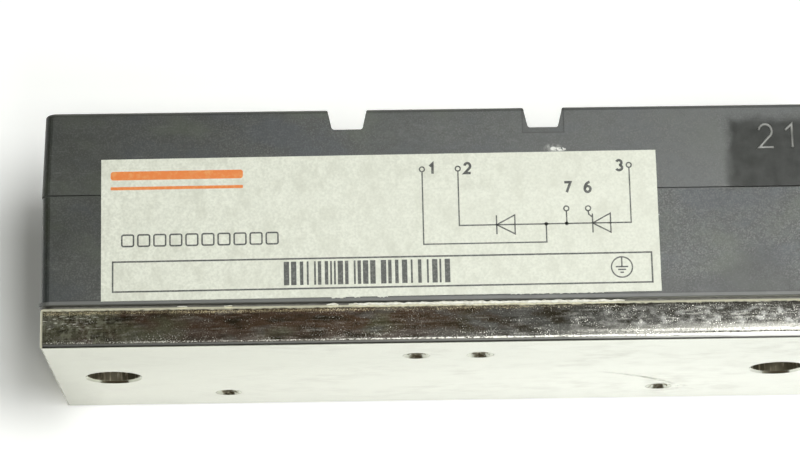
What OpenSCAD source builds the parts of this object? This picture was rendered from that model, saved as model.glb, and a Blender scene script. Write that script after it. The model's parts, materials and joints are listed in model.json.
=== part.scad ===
// Diode and thyristor module: two clamped semiconductor stacks in a moulded housing on a base plate.
// X runs along the length, Y across the width with the label side at -Y, Z up from the heat sink face.

/* [Base plate] */
// Length of the base plate
base_l = 94.3; // [92:0.1:104]
// Width of the base plate
base_w = 34; // [33:0.5:42]
// Thickness of the base plate
base_t = 4.75; // [4:0.05:8]
// Radius of the base plate's upright corners
base_corner_r = 0.4; // [0.2:0.1:2]
// Radius along the base plate's lower edges
base_edge_r = 0.35; // [0.1:0.05:0.8]
// Radius along the base plate's upper edges, where the punch drew the sheet in
base_top_r = 0.6; // [0.1:0.05:1]
// Distance between the mounting holes
mount_pitch = 80; // [78:0.5:84]
// Diameter of a mounting hole
mount_d = 6.3; // [5.5:0.1:7.5]
// Chamfer at the mouth of a mounting hole
mount_chamfer = 0.3; // [0.1:0.05:0.5]

/* [Housing] */
// Set-back of the lower housing from the base plate's ends
end_inset = 0.02; // [0.02:0.02:0.5]
// Set-back of the lower housing from the base plate's long edges
side_inset = 0.2; // [0.02:0.02:0.5]
// Thickness of the adhesive line under the housing
seal_t = 0.22; // [0.1:0.02:0.5]
// Set-back of the adhesive from the housing's faces
seal_inset = 0.5; // [0.1:0.05:0.6]
// Height of the joint between the housing halves above the base plate
joint_h = 13.45; // [12:0.05:15]
// Height of the top deck above the base plate
deck_h = 23.55; // [22:0.05:26]
// Thickness of the housing's outer walls
wall_t = 2; // [1.6:0.1:2.6]
// Thickness of the top deck
deck_t = 2.2; // [1.6:0.1:3]
// Radius of the housing's upright corners
housing_corner_r = 1; // [0.6:0.1:1.4]
// Radius along the housing's upper edge
top_edge_r = 0.5; // [0.2:0.1:1]
// Draft angle of the upper housing's faces
draft_deg = 1.8; // [0.5:0.1:3]
// Overhang of the upper housing over the lower one
joint_overhang = 0.08; // [0.02:0.01:0.2]
// Projection of the lip along the lower housing's foot
lip_out = 0.3; // [0.1:0.05:0.6]
// Height of the lip along the lower housing's foot
lip_h = 0.4; // [0.2:0.05:0.8]
// Chamfer along the lip's bottom edge
lip_chamfer = 0.1; // [0.05:0.05:0.2]
// Height of the shadow groove at the joint
groove_h = 0.15; // [0.05:0.05:0.4]
// Depth of the shadow groove at the joint
groove_depth = 0.3; // [0.1:0.05:0.5]
// Length of the tongue that locates the upper housing
tongue_h = 1.6; // [0.8:0.1:3]

/* [Mounting wells] */
// Width of the open well around a mounting hole
well_w = 14; // [12.5:0.5:15]
// Thickness of the wall around a well
well_wall_t = 1.8; // [1.2:0.1:2.4]

/* [Creepage slots] */
// Width of a slot between terminals at its mouth
slot_mouth_w = 4.5; // [4:0.1:5.5]
// Width of a slot at its floor
slot_floor_w = 3.7; // [3:0.1:4]
// Depth of a slot
slot_depth = 2.5; // [1.5:0.1:3]
// Radius of a slot's corners
slot_r = 0.35; // [0.1:0.05:0.6]
// Thickness of the trough that closes a slot from below
trough_t = 1.4; // [1:0.1:2]
// Depth of the shallow rim around the right front notch
rim_depth = 0.12; // [0.05:0.01:0.3]
// Width of the shallow rim around the right front notch
rim_w = 0.6; // [0.3:0.1:1]

/* [Date window] */
// Length of the smooth window for the date marks
window_l = 12.4; // [8:0.1:13]
// Height of the smooth window
window_h = 8; // [5:0.1:9]
// Distance of the window's middle from the middle of the part
window_x = 39; // [38:0.1:39.5]
// Height of the window's lower edge above the joint
window_rise = 0.25; // [0.1:0.05:0.6]
// Depth of the window
window_depth = 0.04; // [0.02:0.01:0.3]

/* [Terminals] */
// Distance between neighbouring terminals
terminal_pitch = 23; // [22.5:0.1:24]
// Width of a terminal strip
terminal_w = 12; // [11:0.1:12.5]
// Thickness of the busbar sheet
busbar_t = 1.5; // [1.2:0.1:1.8]
// Inner bend radius of a terminal strip
bend_r = 1; // [0.5:0.1:1.5]
// Distance from a terminal's axis to the outer face of its riser
riser_y = 11; // [10.8:0.1:11.6]
// Reach of a terminal strip beyond its axis
terminal_reach = 8; // [6.5:0.1:9]
// Radius of a terminal strip's free corners
terminal_corner_r = 1.5; // [0.5:0.1:3]
// Diameter of the screw hole in a terminal strip
terminal_hole_d = 6.4; // [6:0.1:7]
// Height of the moulded seat under a terminal strip
seat_h = 0.2; // [0.2:0.05:1]
// Margin of the moulded seat around a terminal strip
seat_margin = 0.8; // [0.3:0.1:1.2]
// Width of a captive nut across its flats
nut_af = 10; // [9:0.1:10.4]
// Height of a captive nut
nut_h = 5; // [4:0.1:5.4]
// Core diameter of a nut's thread
nut_core_d = 5; // [4:0.1:5.4]
// Depth of the screw tip's recess under a nut
tip_h = 1.2; // [0.5:0.1:1.6]
// Thickness of a nut pocket's wall and floor
boss_t = 1; // [0.8:0.1:1.2]

/* [Gate tabs] */
// Width of a tab's blade
tab_w = 2.8; // [2:0.1:3.6]
// Thickness of a tab's blade
tab_t = 0.8; // [0.5:0.1:1]
// Height of a tab above its pocket's floor
tab_h = 6.4; // [5:0.1:8]
// Distance between the tabs
tab_pitch = 5.6; // [5.4:0.1:6.4]
// Width of a tab's shoulders
tab_shoulder_w = 4; // [3.8:0.1:4.6]
// Width of a tab's tail
tab_tail_w = 1.6; // [1:0.1:2]
// Length of a tab's tail under the pocket
tab_tail_h = 2.4; // [1.5:0.1:3]
// Depth of the tab pockets below the deck
pocket_depth = 7.2; // [5:0.1:7.6]
// Distance from a mounting hole's axis to the pockets' inner end
pocket_reach = 6.6; // [5.8:0.1:6.8]
// Thickness of the pockets' floor and inner walls
pocket_t = 1.6; // [1.2:0.1:2]

/* [Clamps] */
// Distance of the inner clamp screws from the middle of the part
clamp_inner_x = 3.75; // [3.7:0.05:4.2]
// Distance of the outer clamp screws from the middle of the part
clamp_outer_x = 26.6; // [26.2:0.1:27]
// Distance of the clamp screws from the long axis
clamp_y = 9.9; // [9.7:0.05:10.3]
// Diameter of a clamp screw
screw_d = 2.5; // [2:0.1:3]
// Core diameter of the base plate's screw holes
screw_core_d = 2.1; // [1.6:0.1:2.4]
// Diameter of the countersink under the base plate
screw_sink_d = 3.1; // [2.6:0.1:4.5]
// Depth that a screw's end stays above the heat sink face
screw_end_h = 1.4; // [1:0.1:2]
// Diameter of a clamp screw's head
screw_head_d = 4.5; // [4:0.1:5]
// Height of a clamp screw's head
screw_head_h = 1.7; // [1:0.1:2]
// Width of a clamp screw's driver slot
screw_slot_w = 0.6; // [0.4:0.1:1]
// Outer diameter of a screw sleeve
sleeve_d = 4.6; // [4:0.1:5]
// Width of a clamp bridge
bridge_w = 6.5; // [5.6:0.1:7]
// Thickness of a clamp bridge
bridge_t = 3; // [2:0.1:3.5]

/* [Stacks] */
// Diameter of a ceramic insulator
insulator_d = 24; // [22:0.1:25]
// Thickness of a ceramic insulator
insulator_t = 1; // [0.6:0.1:1.4]
// Diameter of a lower contact
lower_contact_d = 21; // [20.4:0.1:21.8]
// Diameter of an upper contact
upper_contact_d = 17.4; // [16.8:0.1:18]
// Width of the link between the two stacks
link_w = 11; // [8:0.1:12]
// Diameter of a molybdenum disc
moly_d = 18.4; // [17.6:0.1:18.8]
// Thickness of a molybdenum disc
moly_t = 1.2; // [0.8:0.1:1.6]
// Diameter of a silicon wafer
wafer_d = 17.6; // [16.6:0.1:18]
// Thickness of a silicon wafer
wafer_t = 0.6; // [0.3:0.1:1]
// Diameter of a pressure pad
pad_d = 14; // [13:0.1:15]
// Thickness of a pressure pad
pad_t = 3; // [2.8:0.1:3.5]
// Height of the spigots that centre the disc springs
spigot_h = 0.8; // [0.4:0.1:1]
// Outer diameter of a disc spring
spring_od = 14; // [12:0.1:16]
// Inner diameter of a disc spring
spring_id = 7.6; // [6:0.1:8.4]
// Thickness of a disc spring's sheet
spring_t = 0.8; // [0.5:0.1:1]
// Cone height of a disc spring
spring_cone_h = 0.35; // [0.2:0.05:0.5]

/* [Gate contact] */
// Diameter of the gate pin
gate_pin_d = 1.2; // [0.8:0.1:1.6]
// Diameter of the gate pin's head
gate_head_d = 2.6; // [2.2:0.1:3]
// Height of the gate pin's head
gate_head_h = 0.6; // [0.4:0.1:0.8]
// Outer diameter of the gate bush
bush_d = 3; // [2.4:0.1:3.2]
// Diameter of the gate bush's flange
bush_flange_d = 3.8; // [3.4:0.1:4]
// Thickness of the gate bush's flange
bush_flange_t = 0.3; // [0.2:0.05:0.4]
// Depth of the gate chamber in a pressure pad
gate_chamber_h = 2.2; // [2:0.1:2.4]
// Diameter of the gate spring
gate_spring_d = 2.2; // [2:0.1:2.4]
// Diameter of the gate spring's wire
gate_wire_d = 0.25; // [0.2:0.05:0.3]
// Diameter of the gate and cathode leads
lead_d = 0.9; // [0.7:0.1:1]

/* [Label] */
// Length of the label
label_l = 64.8; // [50:0.1:70]
// Height of the label
label_h = 17; // [14:0.1:17.5]
// Thickness of the label
label_t = 0.1; // [0.05:0.01:0.2]
// Distance of the label's middle from the middle of the part
label_x = -7.8; // [-9:0.1:0]
// Height of the label's middle above the base plate
label_rise = 9.35; // [9.25:0.05:9.8]
// Height over which the label bridges the step at the joint
label_bridge = 1.7; // [0.5:0.1:3]
// Angle at which the label was stuck on
label_tilt = 0.28; // [0:0.02:1]

/* [Hidden] */
$fn = 64;

// Clearance of a loose fit
clear = 0.1;
// Overlap that joins the features of one moulding
weld = 0.3;
// Overrun of a cut past the face that it leaves
past = 1;
// Height of a layer in a lofted form
layer_t = 0.01;
// Steps of a quarter arc in a small corner
corner_steps = 6;
// Steps of the half arc of a well
well_steps = 28;

mount_x = mount_pitch / 2;
housing_l = base_l - 2 * end_inset;
housing_w = base_w - 2 * side_inset;
foot_z = base_t + seal_t;
lip_z = foot_z + lip_h;
joint_z = base_t + joint_h;
deck_z = base_t + deck_h;
deck_under_z = deck_z - deck_t;
seat_z = deck_z + seat_h;
top_z = seat_z + busbar_t;
inner_l = housing_l - 2 * wall_t;
inner_w = housing_w - 2 * wall_t;
upper_l = housing_l + 2 * joint_overhang;
upper_w = housing_w + 2 * joint_overhang;
draft_in = tan(draft_deg) * (deck_z - joint_z);
well_r = well_w / 2;

slot_x = terminal_pitch / 2;
slot_floor_z = deck_z - slot_depth;
nut_floor_z = seat_z - clear - nut_h;
nut_corner_d = nut_af / cos(30);
boss_d = nut_corner_d + 2 * clear + 2 * boss_t;
boss_z = nut_floor_z - tip_h - boss_t;
riser_in_y = riser_y - busbar_t;

pocket_x0 = mount_x - pocket_reach;
pocket_x1 = inner_l / 2;
pocket_y0 = well_r + well_wall_t;
pocket_y1 = inner_w / 2;
pocket_floor_z = deck_z - pocket_depth;
tab_y = (pocket_y0 + pocket_y1) / 2;
tab_mid_x = (pocket_x0 + pocket_x1) / 2;
gate_tab_x = tab_mid_x - tab_pitch / 2;
cathode_tab_x = tab_mid_x + tab_pitch / 2;
tab_shoulder_h = 0.9;
tab_tip_chamfer = 0.6;
tab_hole_d = 1.2;
tab_end_z = pocket_floor_z - pocket_t - tab_tail_h;

stack_x = (clamp_inner_x + clamp_outer_x) / 2;
clamp_dx = clamp_outer_x - clamp_inner_x;
clamp_span = norm([clamp_dx, 2 * clamp_y]);
clamp_deg = atan2(2 * clamp_y, clamp_dx);
lower_contact_z = base_t + insulator_t;
moly_z = lower_contact_z + busbar_t;
wafer_z = moly_z + moly_t;
upper_contact_z = wafer_z + wafer_t;
pad_z = upper_contact_z + busbar_t;
spring_z = pad_z + pad_t;
spring_h = spring_t + spring_cone_h;
bridge_z = spring_z + 2 * spring_h;
sleeve_bore_d = screw_d + 2 * clear;
gate_chamber_d = bush_flange_d + 4 * clear;
gate_head_z = pad_z + bush_flange_t;
gate_spring_z = gate_head_z + gate_head_h;
lead_slot_w = lead_d + 6 * clear;

// Route of the gate lead: down from its tab's tail, over to the pad's slot and in to the gate pin's head
lead_drop = 1;
lead_z = gate_head_z + lead_d / 2 + clear / 2;
gate_route = [
    [gate_tab_x, tab_y, tab_end_z], [gate_tab_x, tab_y, tab_end_z - lead_drop],
    [35.4, 11.4, 13.4], [32, 8.4, 12.4], [28, 3.6, 11.8],
    [stack_x + pad_d / 2 + lead_drop, 0, lead_z], [stack_x + gate_head_d / 2 + clear, 0, lead_z]
];
// Route of the cathode lead: down from its tab's tail to the rim of the thyristor's upper contact
cathode_deg = 40;
cathode_r = (upper_contact_d + pad_d) / 4;
cathode_x = stack_x + cathode_r * cos(cathode_deg);
cathode_y = cathode_r * sin(cathode_deg);
cathode_route = [
    [cathode_tab_x, tab_y, tab_end_z], [cathode_tab_x, tab_y, tab_end_z - lead_drop],
    [39.6, 12.6, 12.4], [33.5, 10.6, 10.8], [27.6, 7.2, 12.4],
    [cathode_x, cathode_y, pad_z + lead_drop], [cathode_x, cathode_y, pad_z]
];
// Steps of a lead's curve between two route points
lead_steps = 4;
// Sides of a lead's tube, and a direction that no stretch of a lead follows
lead_sides = 8;
lead_aside = [0.6, -1, 0.3];
// Sides of the gate spring's wire
wire_sides = 6;

plastic = [0.31, 0.32, 0.31];
nickel = [0.78, 0.77, 0.72];
copper = [0.80, 0.52, 0.36];
steel = [0.62, 0.63, 0.64];
ivory = [0.88, 0.86, 0.78];

// Points of an arc about a centre, from one angle to another
function arc(centre, r, from, to, steps) = [
    for (i = [0 : steps])
        let (a = from + (to - from) * i / steps)
        [centre[0] + r * cos(a), centre[1] + r * sin(a)]
];

// Outline of a rectangle about the origin with one radius at its upper corners and one at its lower ones
function eased(l, h, high_r, low_r) = concat(
    arc([l / 2 - high_r, h / 2 - high_r], high_r, 0, 90, corner_steps),
    arc([high_r - l / 2, h / 2 - high_r], high_r, 90, 180, corner_steps),
    arc([low_r - l / 2, low_r - h / 2], low_r, 180, 270, corner_steps),
    arc([l / 2 - low_r, low_r - h / 2], low_r, 270, 360, corner_steps)
);
function rounded(l, w, r) = eased(l, w, r, r);

// Outline of a well that opens towards the end of the part at one side, -1 or 1
function well(r, side) = [
    for (p = concat(arc([mount_x, 0], r, 90, 270, well_steps), [[base_l, -r], [base_l, r]]))
        [side * p[0], p[1]]
];

// Section of a creepage slot, with round floor corners and round lips at the deck
function slot_half(side) = [
    for (p = concat(
        arc([slot_floor_w / 2 - slot_r, slot_floor_z + slot_r], slot_r, 270, 355, corner_steps),
        arc([slot_mouth_w / 2 + slot_r, deck_z - slot_r], slot_r, 175, 90, corner_steps),
        [[slot_mouth_w / 2 + slot_r, deck_z + past]]
    )) [side * p[0], p[1]]
];
function reversed(list) = [for (i = [len(list) - 1 : -1 : 0]) list[i]];
function slot_section() = concat(slot_half(1), reversed(slot_half(-1)));

// Section of a terminal strip: riser, bend and contact tongue, with the riser at -Y
function strip_section(from_z) = concat(
    [[-riser_in_y, from_z], [-riser_y, from_z]],
    arc([bend_r - riser_in_y, seat_z - bend_r], bend_r + busbar_t, 180, 90, corner_steps),
    [[terminal_reach, top_z], [terminal_reach, seat_z]],
    arc([bend_r - riser_in_y, seat_z - bend_r], bend_r, 90, 180, corner_steps)
);

// Point on a smooth curve through four route points, at a share of the middle stretch
function curve(a, b, c, d, t) =
    0.5 * (2 * b + (c - a) * t + (2 * a - 5 * b + 4 * c - d) * t * t + (3 * b - a - 3 * c + d) * t * t * t);
// Places along a route whose first and last stretch are straight
function route(points, steps) = concat(
    [points[0]],
    [for (i = [1 : len(points) - 3], j = [0 : steps - 1])
        curve(points[i - 1], points[i], points[i + 1], points[i + 2], j / steps)],
    [points[len(points) - 2], points[len(points) - 1]]
);
function unit(v) = v / norm(v);

// Ring of points about one place on a route
function ring(at, along, r, aside, sides) =
    let (u = unit(cross(along, aside)), v = cross(unit(along), u))
    [for (k = [0 : sides - 1]) at + r * (cos(360 * k / sides) * u + sin(360 * k / sides) * v)];

// A box centred on X and Y that stands on Z
module plate(l, w, h, z) translate([-l / 2, -w / 2, z]) cube([l, w, h]);

// A section in Y and Z carried along X, about the origin
module along_x(l) translate([-l / 2, 0, 0]) rotate([90, 0, 90]) linear_extrude(l) children();

// A section in X and Z carried along Y, about the origin
module along_y(w) translate([0, w / 2, 0]) rotate([90, 0, 0]) linear_extrude(w) children();

// A tube of round section along a route, closed at both ends
module tube(points, d, aside, sides) {
    last = len(points) - 1;
    rings = [for (i = [0 : last])
        ring(points[i], points[min(i + 1, last)] - points[max(i - 1, 0)], d / 2, aside, sides)];
    corners = [for (r = rings, p = r) p];
    walls = [for (i = [0 : last - 1], k = [0 : sides - 1])
        let (a = i * sides + k, b = i * sides + (k + 1) % sides)
        each [[a, b, b + sides], [a, b + sides, a + sides]]];
    start_cap = [for (k = [sides - 1 : -1 : 0]) k];
    end_cap = [for (k = [0 : sides - 1]) last * sides + k];
    polyhedron(corners, concat([start_cap], walls, [end_cap]));
}

// Footprints that the housing's halves and the adhesive share
module housing_plan(inset) polygon(rounded(housing_l - 2 * inset, housing_w - 2 * inset, housing_corner_r));
module well_plan(grow) for (side = [-1, 1]) polygon(well(well_r + grow, side));
module cavity_plan(outer_t, well_t) difference() {
    housing_plan(outer_t);
    well_plan(well_t);
}

// Places that repeat
module at_terminals() for (i = [-1 : 1]) translate([i * terminal_pitch, 0, 0]) children();
module at_slots() for (i = [-1, 1]) translate([i * slot_x, 0, 0]) children();
module at_clamp_screws() for (x = [clamp_inner_x, clamp_outer_x], side = [-1, 1])
    translate([side * x, x == clamp_inner_x ? -clamp_y : clamp_y, 0]) children();
module at_stack(side) translate([side * stack_x, 0, 0]) children();

// Flat plate with eased edges, two mounting holes and the countersunk holes of the clamp screws
module base_plate() color(nickel) difference() {
    intersection() {
        linear_extrude(base_t) polygon(rounded(base_l, base_w, base_corner_r));
        translate([0, 0, base_t / 2]) along_y(base_w) polygon(eased(base_l, base_t, base_top_r, base_edge_r));
        translate([0, 0, base_t / 2]) along_x(base_l) polygon(eased(base_w, base_t, base_top_r, base_edge_r));
    }
    for (side = [-1, 1]) translate([side * mount_x, 0, 0]) {
        translate([0, 0, -past]) cylinder(d = mount_d, h = base_t + 2 * past);
        cylinder(d1 = mount_d + 2 * mount_chamfer, d2 = mount_d, h = mount_chamfer);
        translate([0, 0, base_t - mount_chamfer])
            cylinder(d1 = mount_d, d2 = mount_d + 2 * mount_chamfer, h = mount_chamfer);
    }
    at_clamp_screws() {
        translate([0, 0, -past]) cylinder(d = screw_core_d, h = base_t + 2 * past);
        cylinder(d1 = screw_sink_d, d2 = screw_core_d, h = (screw_sink_d - screw_core_d) / 2);
    }
}

// Thin adhesive line between the base plate and the housing's foot
module base_seal() color([0.30, 0.29, 0.26]) translate([0, 0, base_t]) linear_extrude(seal_t) difference() {
    housing_plan(seal_inset);
    cavity_plan(wall_t, well_wall_t);
    well_plan(seal_inset);
}

// Upright face and the step of the shadow groove, over one overall width
function wall_section(w) = [
    [-w / 2, foot_z], [w / 2, foot_z],
    [w / 2, joint_z - groove_h], [w / 2 - groove_depth, joint_z - groove_h], [w / 2 - groove_depth, joint_z],
    [groove_depth - w / 2, joint_z], [groove_depth - w / 2, joint_z - groove_h], [-w / 2, joint_z - groove_h]
];

// Lip along the foot with a chamfered bottom edge, over one overall width
function lip_section(w) = [
    [lip_chamfer - w / 2, foot_z], [w / 2 - lip_chamfer, foot_z], [w / 2, foot_z + lip_chamfer],
    [w / 2, lip_z], [-w / 2, lip_z], [-w / 2, foot_z + lip_chamfer]
];
module foot_lip() {
    lip_l = housing_l + 2 * lip_out;
    lip_w = housing_w + 2 * lip_out;
    intersection() {
        translate([0, 0, foot_z]) linear_extrude(lip_h) polygon(rounded(lip_l, lip_w, housing_corner_r + lip_out));
        along_y(lip_w) polygon(lip_section(lip_l));
        along_x(lip_l) polygon(lip_section(lip_w));
    }
}

// Open frame that stands on the base plate, with a rebate for the upper housing's tongue
module lower_housing() color(plastic) difference() {
    union() {
        intersection() {
            translate([0, 0, foot_z]) linear_extrude(joint_h) housing_plan(0);
            along_y(housing_w) polygon(wall_section(housing_l));
            along_x(housing_l) polygon(wall_section(housing_w));
        }
        foot_lip();
    }
    translate([0, 0, foot_z - past]) linear_extrude(joint_h + 2 * past) {
        cavity_plan(wall_t, well_wall_t);
        well_plan(0);
    }
    translate([0, 0, joint_z - tongue_h]) linear_extrude(tongue_h + past)
        cavity_plan(wall_t / 2, well_wall_t / 2);
}

// Drafted outer form of the upper housing with a round upper edge
module upper_form() hull() {
    translate([0, 0, joint_z]) linear_extrude(layer_t) polygon(rounded(upper_l, upper_w, housing_corner_r));
    for (p = arc([top_edge_r, -top_edge_r], top_edge_r, 180, 90, corner_steps))
        translate([0, 0, deck_z + p[1] - layer_t]) linear_extrude(layer_t)
            polygon(rounded(upper_l - 2 * (draft_in + p[0]), upper_w - 2 * (draft_in + p[0]), housing_corner_r));
}

// Solid around a tab pocket at one side of the right mounting well
module pocket_block(side) {
    y = pocket_y0 - pocket_t;
    translate([pocket_x0 - pocket_t, side > 0 ? y : -pocket_y1 - weld, pocket_floor_z - pocket_t])
        cube([pocket_x1 - pocket_x0 + pocket_t + weld, pocket_y1 - y + weld, pocket_depth + pocket_t - top_edge_r]);
}
module pocket(side)
    translate([pocket_x0, side > 0 ? pocket_y0 : -pocket_y1, pocket_floor_z])
        cube([pocket_x1 - pocket_x0, pocket_y1 - pocket_y0, pocket_depth + past]);

// Hexagon pocket of a nut with the recess for the screw's tip below it
module nut_pocket() {
    translate([0, 0, nut_floor_z]) cylinder(d = nut_corner_d + 2 * clear, h = nut_h + past, $fn = 6);
    translate([0, 0, nut_floor_z - tip_h]) cylinder(d = terminal_hole_d, h = tip_h + past);
}

// Opening of a riser through the deck, eased where the strip bends over; the riser is at -Y
module riser_opening() along_x(terminal_w + 2 * clear) polygon([
    [-riser_y - clear, boss_z], [clear - riser_in_y, boss_z], [clear - riser_in_y, seat_z - bend_r],
    [bend_r + clear - riser_in_y, seat_z], [bend_r + clear - riser_in_y, seat_z + past],
    [-riser_y - clear, seat_z + past]
]);

// Raised seat under a terminal strip; the riser is at -Y
module terminal_seat()
    translate([-terminal_w / 2 - seat_margin, -riser_y - seat_margin, deck_z - weld])
        cube([terminal_w + 2 * seat_margin, riser_y + terminal_reach + 2 * seat_margin, seat_h + weld]);

// Terminals 1 and 3 have their risers at the label side, terminal 2 at the rear
module turned_middle() {
    for (i = [-1, 1]) translate([i * terminal_pitch, 0, 0]) children();
    rotate(180) children();
}

// Shallow recess in the drafted front face, between two heights
module front_recess(x, l, from_z, to_z, depth) {
    face_y = -upper_w / 2;
    slope = tan(draft_deg);
    translate([x, 0, 0]) along_x(l) polygon([
        [face_y - past, from_z], [face_y + slope * (from_z - joint_z) + depth, from_z],
        [face_y + slope * (to_z - joint_z) + depth, to_z], [face_y - past, to_z]
    ]);
}

// Moulded cover with wells, creepage slots, nut pockets, terminal seats and tab pockets
module upper_housing() color(plastic) difference() {
    union() {
        difference() {
            upper_form();
            translate([0, 0, joint_z - past]) linear_extrude(deck_under_z - joint_z + past)
                cavity_plan(wall_t, well_wall_t);
        }
        translate([0, 0, joint_z - tongue_h + clear]) linear_extrude(tongue_h - clear + weld) difference() {
            cavity_plan(wall_t / 2 + clear, well_wall_t / 2 + clear);
            cavity_plan(wall_t, well_wall_t);
        }
        at_slots() plate(slot_mouth_w + 2 * trough_t, inner_w + 2 * weld,
            deck_under_z - slot_floor_z + trough_t + weld, slot_floor_z - trough_t);
        at_terminals() translate([0, 0, boss_z]) cylinder(d = boss_d, h = deck_under_z - boss_z + weld);
        for (side = [-1, 1]) pocket_block(side);
        turned_middle() terminal_seat();
    }
    translate([0, 0, joint_z - tongue_h - past]) linear_extrude(deck_h) well_plan(0);
    at_slots() along_y(upper_w + past) polygon(slot_section());
    at_terminals() nut_pocket();
    turned_middle() riser_opening();
    for (side = [-1, 1]) pocket(side);
    for (x = [gate_tab_x, cathode_tab_x])
        translate([x, tab_y, 0]) plate(tab_t + 2 * clear, tab_tail_w + 2 * clear, pocket_depth, tab_end_z);
    front_recess(window_x, window_l, joint_z + window_rise, joint_z + window_rise + window_h, window_depth);
    front_recess(slot_x, slot_floor_w + 2 * rim_w, slot_floor_z - rim_w, deck_z - top_edge_r, rim_depth);
}

// Paper label that follows the front faces of both housing halves
module side_label() color([0.86, 0.87, 0.81]) {
    lower_y = -housing_w / 2;
    upper_y = -upper_w / 2;
    middle_z = base_t + label_rise;
    top = middle_z + label_h;
    top_y = upper_y + tan(draft_deg) * (top - joint_z);
    intersection() {
        translate([label_x, 0, 0]) along_x(2 * label_l) polygon([
            [lower_y, lip_z], [lower_y, joint_z - groove_h], [upper_y, joint_z], [top_y, top],
            [top_y - label_t, top], [upper_y - label_t, joint_z],
            [lower_y - label_t, joint_z - groove_h - label_bridge], [lower_y - label_t, lip_z]
        ]);
        translate([label_x, 0, middle_z]) rotate([0, -label_tilt, 0]) along_y(base_w + past)
            square([label_l, label_h], center = true);
    }
}

// Terminal strip with its riser at -Y, round free corners and a screw hole
module terminal_strip(from_z) difference() {
    corner_x = terminal_w / 2 - terminal_corner_r;
    corner_y = terminal_reach - terminal_corner_r;
    intersection() {
        along_x(terminal_w) polygon(strip_section(from_z));
        linear_extrude(top_z + past) polygon(concat(
            arc([corner_x, corner_y], terminal_corner_r, 0, 90, corner_steps),
            arc([-corner_x, corner_y], terminal_corner_r, 90, 180, corner_steps),
            [[-terminal_w / 2, -riser_y], [terminal_w / 2, -riser_y]]
        ));
    }
    translate([0, 0, seat_z - past]) cylinder(d = terminal_hole_d, h = busbar_t + 2 * past);
}

// Flat foot of a lower contact: a disc on the stack and a tongue to the riser
module lower_contact(side) {
    at_stack(side) circle(d = lower_contact_d);
    translate([side * terminal_pitch - terminal_w / 2, -riser_y]) square([terminal_w, riser_y]);
}

// Busbar of terminal 1: under the diode, and over the thyristor with a bore for the gate
module busbar_1() color(copper) {
    translate([0, 0, lower_contact_z]) linear_extrude(busbar_t) {
        lower_contact(-1);
        translate([-stack_x, -link_w / 2]) square([stack_x + busbar_t / 2, link_w]);
    }
    plate(busbar_t, link_w, pad_z - lower_contact_z, lower_contact_z);
    translate([0, 0, upper_contact_z]) linear_extrude(busbar_t) difference() {
        union() {
            at_stack(1) circle(d = upper_contact_d);
            translate([-busbar_t / 2, -link_w / 2]) square([stack_x + busbar_t / 2, link_w]);
        }
        at_stack(1) circle(d = bush_d + clear);
    }
    translate([-terminal_pitch, 0, 0]) terminal_strip(lower_contact_z);
}

// Busbar of terminal 2: over the diode, with its riser at the rear
module busbar_2() color(copper) {
    translate([0, 0, upper_contact_z]) linear_extrude(busbar_t) {
        at_stack(-1) circle(d = upper_contact_d);
        polygon([
            [terminal_w / 2, riser_in_y], [terminal_w / 2, riser_y], [-stack_x, riser_y],
            [-stack_x, 0], [-terminal_w / 2, riser_in_y]
        ]);
    }
    rotate(180) terminal_strip(upper_contact_z);
}

// Busbar of terminal 3: under the thyristor
module busbar_3() color(copper) {
    translate([0, 0, lower_contact_z]) linear_extrude(busbar_t) lower_contact(1);
    translate([terminal_pitch, 0, 0]) terminal_strip(lower_contact_z);
}

// Three captive hexagon nuts under the terminal strips
module terminal_nuts() color(steel) at_terminals() translate([0, 0, nut_floor_z]) difference() {
    cylinder(d = nut_corner_d, h = nut_h, $fn = 6);
    translate([0, 0, -past]) cylinder(d = nut_core_d, h = nut_h + 2 * past);
}

// Blade with a chamfered tip and a latch hole, shoulders on the pocket's floor and a tail below it
module tab(x) color(nickel) translate([x, tab_y, 0]) difference() {
    along_x(tab_t) {
        translate([-tab_tail_w / 2, tab_end_z]) square([tab_tail_w, pocket_floor_z - tab_end_z + tab_shoulder_h]);
        translate([-tab_shoulder_w / 2, pocket_floor_z]) square([tab_shoulder_w, tab_shoulder_h]);
        polygon([
            [-tab_w / 2, pocket_floor_z], [tab_w / 2, pocket_floor_z],
            [tab_w / 2, pocket_floor_z + tab_h - tab_tip_chamfer],
            [tab_w / 2 - tab_tip_chamfer, pocket_floor_z + tab_h],
            [tab_tip_chamfer - tab_w / 2, pocket_floor_z + tab_h],
            [-tab_w / 2, pocket_floor_z + tab_h - tab_tip_chamfer]
        ]);
    }
    translate([-tab_t, 0, pocket_floor_z + tab_h / 2]) rotate([0, 90, 0]) cylinder(d = tab_hole_d, h = 2 * tab_t);
}

// Discs of a stack, from the base plate up
module disc(side, d, h, z) at_stack(side) translate([0, 0, z]) cylinder(d = d, h = h);
module insulator(side) color(ivory) disc(side, insulator_d, insulator_t, base_t);
module moly_disc(side) color([0.55, 0.55, 0.57]) disc(side, moly_d, moly_t, moly_z);
module wafer(side) color([0.30, 0.32, 0.36]) disc(side, wafer_d, wafer_t, wafer_z);

// Insulating pad with a gate chamber, a lead slot and a spigot for the springs
module pressure_pad(side) color(ivory) at_stack(side) difference() {
    union() {
        translate([0, 0, pad_z]) cylinder(d = pad_d, h = pad_t);
        translate([0, 0, pad_z]) cylinder(d = spring_id - 2 * clear, h = pad_t + spigot_h);
    }
    translate([0, 0, pad_z - past]) cylinder(d = gate_chamber_d, h = gate_chamber_h + past);
    translate([0, -lead_slot_w / 2, pad_z - past]) cube([pad_d, lead_slot_w, gate_chamber_h + past]);
}

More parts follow.
